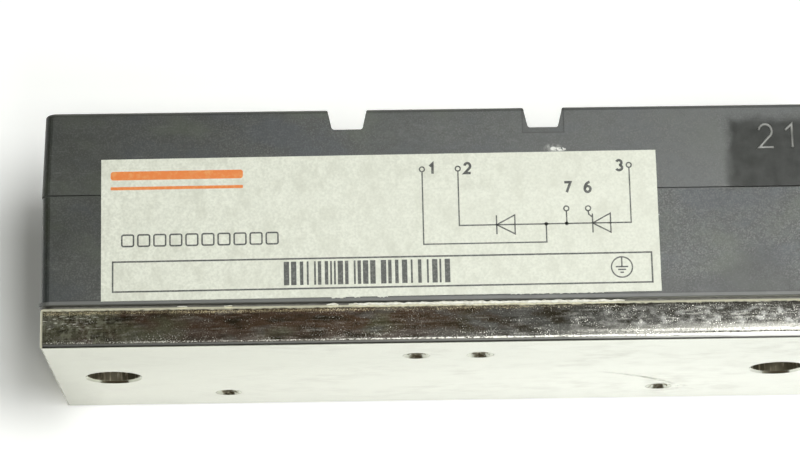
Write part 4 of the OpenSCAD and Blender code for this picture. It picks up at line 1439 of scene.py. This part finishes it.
@dataclass
class LabelPrint:
    """The print on the side label: a ruled frame, a circuit drawing, its numbers and plain marks."""

    face: LabelFace
    ink: Material
    accent: Material
    rule: float = 0.19
    wire: float = 0.16
    bold: float = 0.30
    thickness: float = 0.012
    sunk: float = 0.006
    step: float = 0.6
    frame_left: float = -31.15
    frame_right: float = 31.3
    frame_low: float = -7.42
    frame_high: float = -3.86
    ring_r: float = 0.29
    dot_r: float = 0.224
    rail: float = -0.24
    loop_rail: float = -2.42
    loop_end: float = 19.2
    pad_1: Spot = (4.90, 6.62)
    pad_2: Spot = (9.09, 6.62)
    pad_3: Spot = (29.10, 6.70)
    pad_7: Spot = (21.60, 1.57)
    pad_6: Spot = (24.14, 1.54)
    gate_bend: Spot = (0.06, -0.72)
    gate_rise: float = 0.72
    diode: Spot = (13.43, 15.56)
    thyristor: Spot = (24.61, 26.70)
    element_half: float = 1.14
    number_height: float = 1.22
    numbers: tuple[tuple[Numeral, float, float], ...] = (
        (Numeral.ONE, 5.72, 6.06),
        (Numeral.TWO, 9.86, 6.06),
        (Numeral.THREE, 27.62, 6.08),
        (Numeral.SEVEN, 21.48, 3.50),
        (Numeral.SIX, 23.80, 3.50),
    )
    earth: Spot = (27.8, -5.58)
    earth_r: float = 1.22
    earth_stem: float = 0.05
    earth_bars: tuple[float, ...] = (0.72, 0.46, 0.20)
    earth_pitch: float = 0.34
    bars_left: float = -12.0
    bars_right: float = 7.9
    bars_low: float = -7.0
    bars_high: float = -4.2
    bar_widths: tuple[float, ...] = (0.22, 0.40, 0.62)
    bar_draws: int = 60
    bar_seed: int = 5
    bar_corner: float = 0.03
    boxes_left: float = -30.1
    boxes_low: float = -2.02
    box_size: float = 1.36
    box_corner: float = 0.2
    box_pitch: float = 1.86
    box_count: int = 10
    accent_left: float = -31.4
    accent_right: float = -16.0
    accent_bar: Spot = (5.95, 7.0)
    accent_rule: Spot = (4.75, 5.12)
    accent_round: float = 0.3

    def line(self, path: list[Spot] | Array, width: float, loop: bool = False) -> Shell:
        """A printed line of that width along a path on the label."""
        fine = refined(np.array(path, float), self.step, loop)
        return swept(self.face, fine, flat_section(width, self.thickness, self.sunk), loop)

    def filled(self, outline: Array) -> Shell:
        """A filled printed shape."""
        return slab(self.face, outline, -self.sunk, self.thickness)

    def ruled_frame(self) -> list[Shell]:
        """The long box along the label's foot."""
        left, right, low, high = self.frame_left, self.frame_right, self.frame_low, self.frame_high
        return [self.line([(left, low), (right, low), (right, high), (left, high)], self.rule, True)]

    def element(self, tip: float, base: float) -> list[Shell]:
        """A diode arrow that points left, with the bar at its tip.

        Args:
            tip: Where the arrow ends.
            base: Where it starts.

        Returns:
            The arrow and the bar.
        """
        low, high = self.rail - self.element_half, self.rail + self.element_half
        arrow = [(tip, self.rail), (base, low), (base, high)]
        return [self.line(arrow, self.wire, True), self.line([(tip, low), (tip, high)], self.wire)]

    def circuit(self) -> list[Shell]:
        """The two elements in series, their terminals and the leads between them.

        Returns:
            The drawing's rings, leads, dots and elements.
        """
        pads = (self.pad_1, self.pad_2, self.pad_3, self.pad_6, self.pad_7)
        starts = {pad: (pad[0], pad[1] - self.ring_r) for pad in pads}
        loop = [(self.pad_1[0], self.loop_rail), (self.loop_end, self.loop_rail), (self.loop_end, self.rail)]
        bend = (self.pad_6[0] + self.gate_bend[0], self.pad_6[1] + self.gate_bend[1])
        leads = [
            [starts[self.pad_1], *loop],
            [
                starts[self.pad_2],
                (self.pad_2[0], self.rail),
                (self.pad_3[0], self.rail),
                starts[self.pad_3],
            ],
            [starts[self.pad_7], (self.pad_7[0], self.rail)],
            [starts[self.pad_6], bend, (self.thyristor[0], self.rail + self.gate_rise)],
        ]
        dots = [(self.loop_end, self.rail), (self.pad_7[0], self.rail)]
        return [
            *(self.line(circle(pad, self.ring_r), self.wire, True) for pad in pads),
            *(self.line(lead, self.wire) for lead in leads),
            *(self.filled(circle(dot, self.dot_r, steps=16)) for dot in dots),
            *self.element(*self.diode),
            *self.element(*self.thyristor),
        ]

    def terminal_numbers(self) -> list[Shell]:
        """The bold numbers beside the terminals."""
        strokes = [s for n, u, v in self.numbers for s in placed_strokes(n, (u, v), self.number_height)]
        return [self.line(stroke.path, self.bold, stroke.loop) for stroke in strokes]

    def earth_sign(self) -> list[Shell]:
        """A ringed earth sign: a stem on three bars that shrink downwards.

        Returns:
            The ring, the stem and the bars.
        """
        u, v = self.earth
        foot = v + self.earth_stem
        drawn = [self.line(circle(self.earth, self.earth_r), self.wire, True)]
        drawn.append(self.line([(u, v + self.earth_r), (u, foot)], self.wire))
        for step, half in enumerate(self.earth_bars):
            level = foot - step * self.earth_pitch
            drawn.append(self.line([(u - half, level), (u + half, level)], self.wire))
        return drawn

    def code_bars(self) -> list[Shell]:
        """A plain row of upright bars of three widths, with gaps of the same widths.

        Returns:
            One shell for each bar.
        """
        widths = np.random.default_rng(self.bar_seed).choice(self.bar_widths, size=self.bar_draws)
        edges = self.bars_left + np.cumsum(widths)
        edges = edges[edges < self.bars_right]
        pairs = edges[: len(edges) // 2 * 2].reshape(-1, 2)
        middle = (self.bars_low + self.bars_high) / 2
        height = self.bars_high - self.bars_low
        bars = [(((left + right) / 2, middle), (right - left, height)) for left, right in pairs]
        return [
            self.filled(rounded(centre, size, self.bar_corner, steps=2))
            for centre, size in bars
        ]

    def tick_boxes(self) -> list[Shell]:
        """A row of small empty boxes.

        Returns:
            One shell for each box.
        """
        half = self.box_size / 2
        centres = self.boxes_left + half + np.arange(self.box_count) * self.box_pitch
        size = (self.box_size, self.box_size)
        outlines = [rounded((u, self.boxes_low + half), size, self.box_corner, steps=4) for u in centres]
        return [self.line(outline, self.rule, True) for outline in outlines]

    def accent_marks(self) -> list[Shell]:
        """A plain bar with round ends over a thin rule.

        Returns:
            The bar and the rule.
        """
        middle = (self.accent_left + self.accent_right) / 2
        width = self.accent_right - self.accent_left
        marks = []
        for low, high in (self.accent_bar, self.accent_rule):
            height = high - low
            outline = rounded((middle, (low + high) / 2), (width, height), height * self.accent_round)
            marks.append(self.filled(outline))
        return marks

    def build(self) -> None:
        """Makes the dark and the coloured print."""
        dark = [
            *self.ruled_frame(),
            *self.circuit(),
            *self.terminal_numbers(),
            *self.earth_sign(),
            *self.code_bars(),
            *self.tick_boxes(),
        ]
        make_piece("label_print", dark, self.ink)
        make_piece("label_colour_bar", self.accent_marks(), self.accent)


@dataclass
class RaisedNumbers:
    """Moulded numbers: two in the marking field on the front and one before each terminal."""

    plastic: Material
    worn: Material
    front: float
    joint: float
    top: float
    recess: float = 0.04
    field_height: float = 2.85
    field_low: float = 22.9
    field_spots: tuple[tuple[Numeral, float], ...] = ((Numeral.TWO, 36.75), (Numeral.ONE, 39.75))
    field_stroke: Spot = (0.28, 0.18)
    seat_rise: float = 0.2
    deck_height: float = 2.2
    deck_y: float = -15.0
    deck_spots: tuple[tuple[Numeral, float], ...] = (
        (Numeral.ONE, -23.5),
        (Numeral.TWO, -0.6),
        (Numeral.THREE, 22.4),
    )
    deck_stroke: Spot = (0.32, 0.18)
    sunk: float = 0.05
    smooth: float = 50.0

    def row(
        self, face: Face, spots: tuple[tuple[Numeral, float], ...], height: float, stroke: Spot
    ) -> list[Shell]:
        """A row of raised numbers: half an ellipse carried along each stroke.

        Args:
            face: The face that they stand on.
            spots: Each number and where it starts.
            height: Their height.
            stroke: Width and height of the stroke's section.

        Returns:
            One shell for each stroke.
        """
        section = round_section(*stroke, self.sunk)
        strokes = [s for numeral, x in spots for s in placed_strokes(numeral, (x, 0.0), height)]
        return [swept(face, s.path, section, s.loop) for s in strokes]

    def build(self) -> None:
        """Makes both groups of numbers."""
        lean = (0.0, math.sin(DRAFT), math.cos(DRAFT))
        y = self.front + self.recess + (self.field_low - self.joint) * math.tan(DRAFT)
        field_face = Face((0.0, y, self.field_low), up=lean)
        field_row = self.row(field_face, self.field_spots, self.field_height, self.field_stroke)
        make_piece("front_numbers", field_row, self.worn, self.smooth)
        deck_face = Face((0.0, self.deck_y, self.top - self.seat_rise), up=(0.0, 1.0, 0.0))
        deck_row = self.row(deck_face, self.deck_spots, self.deck_height, self.deck_stroke)
        make_piece("deck_numbers", deck_row, self.plastic, self.smooth)


@dataclass
class SqueezedSealant:
    """White sealant that came out of the seam at the front, and bits of torn label above it.

    A run or a shred is its start, its end and its height. A ripple is its size, its longest and its
    shortest wave.
    """

    sealant: Material
    paper: Material
    label: LabelFace
    plate_front: float
    plate_top: float
    inset: float = 0.1
    below: float = 0.06
    runs: tuple[Point, ...] = (
        (-14.15, -12.75, 0.14),
        (-11.6, -2.6, 0.18),
        (-3.8, 6.8, 0.23),
        (5.0, 20.3, 0.20),
        (-31.4, -30.2, 0.08),
        (-26.0, -25.0, 0.07),
    )
    depth: float = 0.20
    step: float = 0.12
    end_turn: float = 0.08
    end_power: float = 0.35
    swelling: Point = (0.22, 3.0, 0.35)
    swell_range: Spot = (0.5, 1.5)
    sway: Point = (0.05, 2.4, 0.5)
    sway_seed: int = 50
    shreds: tuple[Point, ...] = (
        (-5.9, -4.3, 0.16),
        (-3.3, -2.6, 0.12),
        (-0.6, 0.6, 0.14),
        (14.8, 25.6, 0.08),
    )
    label_foot: float = -8.5
    overlap: float = 0.05
    shred_step: float = 0.15
    shred_heights: Spot = (-0.06, 0.025)
    hang: float = 0.75
    tearing: Point = (0.6, 1.2, 0.25)
    tear_range: Spot = (0.25, 1.5)
    tear_seed: int = 90
    smooth: float = 60.0

    def bead(self, start: float, end: float, height: float, seed: int) -> Shell:
        """One ragged bead along the seam: an ellipse whose half height and depth ripple along its run.

        Args:
            start: Where it starts, in x.
            end: Where it ends, in x.
            height: Half height of its section.
            seed: Chooses its ripples.

        Returns:
            A closed shell.
        """
        along = np.linspace(start, end, max(12, int((end - start) / self.step)))
        taper = np.sin(np.linspace(self.end_turn, math.pi - self.end_turn, len(along))) ** self.end_power
        size, *waves = self.swelling
        swell = np.clip(1.0 + size * ripple(along, seed, *waves), *self.swell_range) * taper
        size, *waves = self.sway
        shift = size * ripple(along, seed + self.sway_seed, *waves)
        ellipse = circle((0.0, 0.0), 1.0, steps=12) * np.array([height, self.depth])
        sections = ellipse[None] * swell[:, None, None]
        face = Face((0.0, self.plate_front + self.inset, self.plate_top - self.below))
        return swept(face, np.stack([along, shift], axis=1), sections)

    def shred(self, start: float, end: float, height: float, seed: int) -> Shell:
        """A strip of torn paper along the label's foot, with a ragged lower edge.

        Args:
            start: Where it starts, across the label.
            end: Where it ends.
            height: How far it hangs below the label's edge.
            seed: Chooses its tears.

        Returns:
            A closed shell.
        """
        along = np.linspace(start, end, max(8, int((end - start) / self.shred_step)))
        size, *waves = self.tearing
        hang = height * np.clip(self.hang + size * ripple(along, seed, *waves), *self.tear_range)
        lower = np.stack([along, self.label_foot - hang], axis=1)
        upper = np.stack([along[::-1], np.full(len(along), self.label_foot + self.overlap)], axis=1)
        return slab(self.label, np.concatenate([lower, upper]), *self.shred_heights)

    def build(self) -> None:
        """Makes the beads and the torn edge."""
        beads = [self.bead(*run, seed) for seed, run in enumerate(self.runs)]
        make_piece("squeezed_sealant", beads, self.sealant, self.smooth)
        torn = [self.shred(*bit, seed) for seed, bit in enumerate(self.shreds, self.tear_seed)]
        make_piece("torn_label_edge", torn, self.paper)


@dataclass
class ThreadedNuts:
    """The three captive nuts, with chamfered corners and a screw thread."""

    steel: Material
    low: float
    high: float
    flats: float
    core_r: float = 2.5
    thread_depth: float = 0.54
    pitch: float = 1.0
    steps_per_pitch: int = 10
    around: int = 96
    cone: float = math.radians(30.0)
    chamfer: float = 0.44
    rim_drops: tuple[float, ...] = (0.0, 0.15, 0.3, 0.5, 0.8)
    smooth: float = 35.0

    def nut(self, x: float) -> Shell:
        """One nut as a closed ring of sections.

        The bore's radius is core + depth tri(z / pitch + t / 2 pi), opened out at both ends. The outside
        is the hexagon (flats / 2) / cos(t mod 60 - 30), cut by a cone at both ends.

        Args:
            x: Where the nut sits.

        Returns:
            A closed shell.
        """
        turn = np.linspace(0.0, 2.0 * math.pi, self.around + 1)[:-1, None]
        height = self.high - self.low
        rise = np.linspace(0.0, height, int(height / self.pitch * self.steps_per_pitch) + 1)[None]
        phase = (rise / self.pitch + turn / (2.0 * math.pi)) % 1.0
        thread = self.core_r + self.thread_depth * (1.0 - np.abs(2.0 * phase - 1.0))
        mouth = self.core_r + self.thread_depth - np.minimum(rise, height - rise)
        bore = np.maximum(thread, mouth)
        drop = np.array(self.rim_drops)
        fall = np.concatenate([drop, height - drop[::-1]])[None]
        hexagon = self.flats / 2 / np.cos(turn % (math.pi / 3) - math.pi / 6)
        cone = self.flats / 2 + np.minimum(fall, height - fall) / math.tan(self.cone) * self.chamfer
        outside = np.minimum(hexagon, cone)
        radius = np.concatenate([bore, outside], axis=1)
        level = np.concatenate([rise, height - fall], axis=1) + self.low
        level = np.broadcast_to(level, radius.shape)
        points = np.stack([x + radius * np.cos(turn), radius * np.sin(turn), level], axis=-1)
        return Shell(points.reshape(-1, 3), grid_faces(*radius.shape, True).tolist())

    def build(self) -> None:
        """Makes the nuts in place of their plain solids."""
        nuts = [self.nut(x) for x in TERMINALS]
        piece = make_piece("threaded_nuts", nuts, self.steel, self.smooth)
        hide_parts("terminal_nuts")


# Studio

@dataclass(frozen=True)
class Lamp:
    """A square soft light, in metres and watts."""

    name: str
    place: Point
    size: float
    power: float
    aim: Point = (0.0, 0.0, 0.01)
    colour: Colour = (0.98, 1.0, 0.98)
    sheen_only: bool = False

    def hang(self) -> None:
        """Adds the light, turned towards its aim."""
        data = bpy.data.lights.new(self.name, "AREA")
        data.shape = "SQUARE"
        data.size = self.size
        data.energy = self.power
        data.color = self.colour
        lamp = bpy.data.objects.new(self.name, data)
        lamp.visible_diffuse = not self.sheen_only
        lamp.location = self.place
        lamp.rotation_euler = (Vector(self.aim) - Vector(self.place)).to_track_quat("-Z", "Y").to_euler()
        bpy.context.scene.collection.objects.link(lamp)


class Seen(Enum):
    """Which rays meet a stage surface; the others go through it."""

    CAMERA = ("Is Camera Ray",)
    CAMERA_AND_MIRRORS = ("Is Camera Ray", "Is Glossy Ray", "Is Transmission Ray")


@dataclass
class Studio:
    """A white table behind the module, a pale floor, soft lamps and the camera.

    A glow is where it starts, where it is full and how strong it is there.
    """

    rear: float
    white: Colour = (0.975, 0.975, 0.965)
    off_white: float = 0.99
    mottle: float = 40.0
    glow: float = 0.035
    glow_above: Point = (22.0, 36.0, 0.26)
    glow_below: Point = (3.0, -4.0, 0.26)
    glow_left: Point = (-49.0, -42.0, 0.34)
    left_top: Spot = (14.0, 8.0)
    left_foot: Spot = (-6.5, -0.5)
    reach: float = 700.0
    gap: float = 0.03
    sky: Colour = (0.985, 1.0, 0.97)
    sky_from: Spot = (-0.05, 0.15)
    ambient: Colour = (0.130, 0.131, 0.116)
    room: Colour = (0.50, 0.48, 0.40)
    room_above: Spot = (0.38, 0.75)
    room_right: Spot = (0.22, 0.7)
    right_share: float = 0.8
    gloom: Colour = (0.095, 0.078, 0.056)
    lens: float = 132.94
    sensor: float = 36.0
    eye: Point = (-10.998, -348.934, -73.117)
    forward: Point = (0.01598513, 0.96709398, 0.25391676)
    right: Point = (0.99977321, -0.01188564, -0.01767106)
    lamps: tuple[Lamp, ...] = (
        Lamp("key", (0.053, -0.36, 0.025), 0.09, 0.545),
        Lamp("key_low", (0.053, -0.36, -0.055), 0.09, 0.335),
        Lamp("low", (0.050, -0.36, -0.17), 0.08, 0.22),
        Lamp("fill", (-0.03, -0.45, -0.10), 0.06, 0.175),
        Lamp("sheen", (0.155, -0.57, 0.06), 0.16, 1.8, sheen_only=True),
        Lamp("top_rear", (0.10, 0.32, 0.50), 0.35, 2.2, (0.0, 0.0, 0.02)),
        Lamp("left_rear", (-0.50, 0.26, 0.16), 0.30, 1.6),
        Lamp("right_rear", (0.50, 0.26, 0.16), 0.30, 1.6),
    )

    def stage_glow(self, g: Graph) -> Socket:
        """The stage's own faint light, stronger above, below and to the left of the module.

        Args:
            g: The material's graph.

        Returns:
            The strength of the light.
        """
        starts = ((g.z, self.glow_above), (g.z, self.glow_below), (g.x, self.glow_left))
        above, below, left = (g.span(axis, start, end, 0.0, top) for axis, (start, end, top) in starts)
        left = g.both(left, g.band(g.z, *self.left_top), g.band(g.z, *self.left_foot))
        return g.total(above, below, left, self.glow)

    def stage_finish(self, name: str, seen: Seen) -> Material:
        """White paint on one side of a surface, which only some rays meet.

        Args:
            name: The material's name.
            seen: The rays that meet it.

        Returns:
            The finished material.
        """
        g = Graph(name)
        path = g.node("ShaderNodeLightPath")
        back = g.node("ShaderNodeNewGeometry").outputs["Backfacing"]
        met = g.either(*(path.outputs[ray] for ray in seen.value))
        shown = g.both(met, g.math("SUBTRACT", 1.0, back))
        shade = tuple(part * self.off_white for part in self.white)
        tone = g.blend(g.noise(self.mottle, 1.0), self.white, shade)
        paint = g.node("ShaderNodeBsdfDiffuse", {"Color": tone})
        glow = g.node("ShaderNodeEmission", {"Color": self.white, "Strength": self.stage_glow(g)})
        lit = g.node("ShaderNodeAddShader", {0: paint.outputs[0], 1: glow.outputs[0]})
        clear = g.node("ShaderNodeBsdfTransparent")
        inputs = {0: shown, 1: clear.outputs[0], 2: lit.outputs[0]}
        return g.end(g.node("ShaderNodeMixShader", inputs).outputs[0])

    def sheet(self, name: str, face: Face, seen: Seen) -> None:
        """A large flat square: the four corners (+-reach, +-reach) on a face.

        Args:
            name: Its name and its material's.
            face: The face that it lies on.
            seen: The rays that meet it.
        """
        corners = np.array([(-1, -1), (1, -1), (1, 1), (-1, 1)]) * self.reach
        points = face.put(corners[:, 0], corners[:, 1], np.zeros(4)) * MM
        mesh = bpy.data.meshes.new(name)
        mesh.from_pydata(points.tolist(), [], [[0, 1, 2, 3]])
        mesh.materials.append(self.stage_finish(name, seen))
        surface = bpy.data.objects.new(name, mesh)
        bpy.context.scene.collection.objects.link(surface)

    def hang_sky(self) -> None:
        """Lights the scene evenly, shows white to the camera and a dim room to mirrors."""
        world = bpy.data.worlds.new("studio")
        bpy.context.scene.world = world
        world.use_nodes = True
        g = Nodes(world.node_tree)
        x, y, z = g.parts(g.node("ShaderNodeTexCoord").outputs["Generated"])
        rays = g.node("ShaderNodeLightPath").outputs
        lit = g.either(g.band(z, *self.room_above), g.both(g.band(x, *self.room_right), self.right_share))
        mirrored = g.coats(self.gloom, (lit, self.room), (g.band(y, *self.sky_from), self.sky))
        colour = g.coats(
            self.ambient,
            (g.either(rays["Is Glossy Ray"], rays["Is Transmission Ray"]), mirrored),
            (rays["Is Camera Ray"], self.sky),
        )
        background = g.node("ShaderNodeBackground", {"Color": colour})
        g.node("ShaderNodeOutputWorld", {"Surface": background.outputs[0]})

    def place_camera(self) -> None:
        """Puts the camera at the measured eye, looking forward with no shift."""
        data = bpy.data.cameras.new("camera")
        data.sensor_width = self.sensor
        data.lens = self.lens
        forward = Vector(self.forward).normalized()
        right = Vector(self.right)
        right = (right - forward * right.dot(forward)).normalized()
        up = right.cross(forward)
        turn = Matrix((right, up, -forward)).transposed()
        camera = bpy.data.objects.new("camera", data)
        camera.matrix_world = Matrix.Translation(Vector(self.eye) * MM) @ turn.to_4x4()
        bpy.context.scene.collection.objects.link(camera)
        bpy.context.scene.camera = camera

    def build(self) -> None:
        """Sets up the stage, the lamps, the sky and the camera."""
        bpy.context.scene.view_settings.view_transform = "Standard"
        self.place_camera()
        table = Face((0.0, self.rear + self.gap, 0.0))
        self.sheet("table", table, Seen.CAMERA_AND_MIRRORS)
        floor = Face((0.0, 0.0, -self.gap), up=(0.0, 1.0, 0.0))
        self.sheet("floor", floor, Seen.CAMERA)
        for lamp in self.lamps:
            lamp.hang()
        self.hang_sky()


def main() -> None:
    """Builds the studio, the finishes and every new piece in order."""
    logging.basicConfig(level=logging.INFO, format="%(message)s")
    _, lower_high = box_mm("lower_housing")
    upper_low, upper_high = box_mm("upper_housing")
    plate_low, plate_high = box_mm("base_plate")
    label_low, label_high = box_mm("side_label")
    nut_low, nut_high = box_mm("terminal_nuts")
    joint = lower_high[2]
    Studio(rear=lower_high[1]).build()
    wardrobe = Wardrobe()
    wardrobe.dress_nodes()
    middle = ((label_low[0] + label_high[0]) / 2, (label_low[2] + label_high[2]) / 2)
    label = LabelFace(middle, label_low[1], joint)
    paper = wardrobe.get("label_paper")
    plastic = wardrobe.get("housing_plastic")
    LabelPrint(label, wardrobe.get("label_ink"), wardrobe.get("label_accent")).build()
    RaisedNumbers(plastic, RUBBED_PLASTIC.dress(), upper_low[1], joint, upper_high[2]).build()
    SqueezedSealant(FRESH_SEALANT.dress(), paper, label, plate_low[1], plate_high[2]).build()
    steel = wardrobe.get("nut_steel")
    ThreadedNuts(steel, nut_low[2], nut_high[2], nut_high[1] - nut_low[1]).build()


if __name__ == "__main__":
    main()
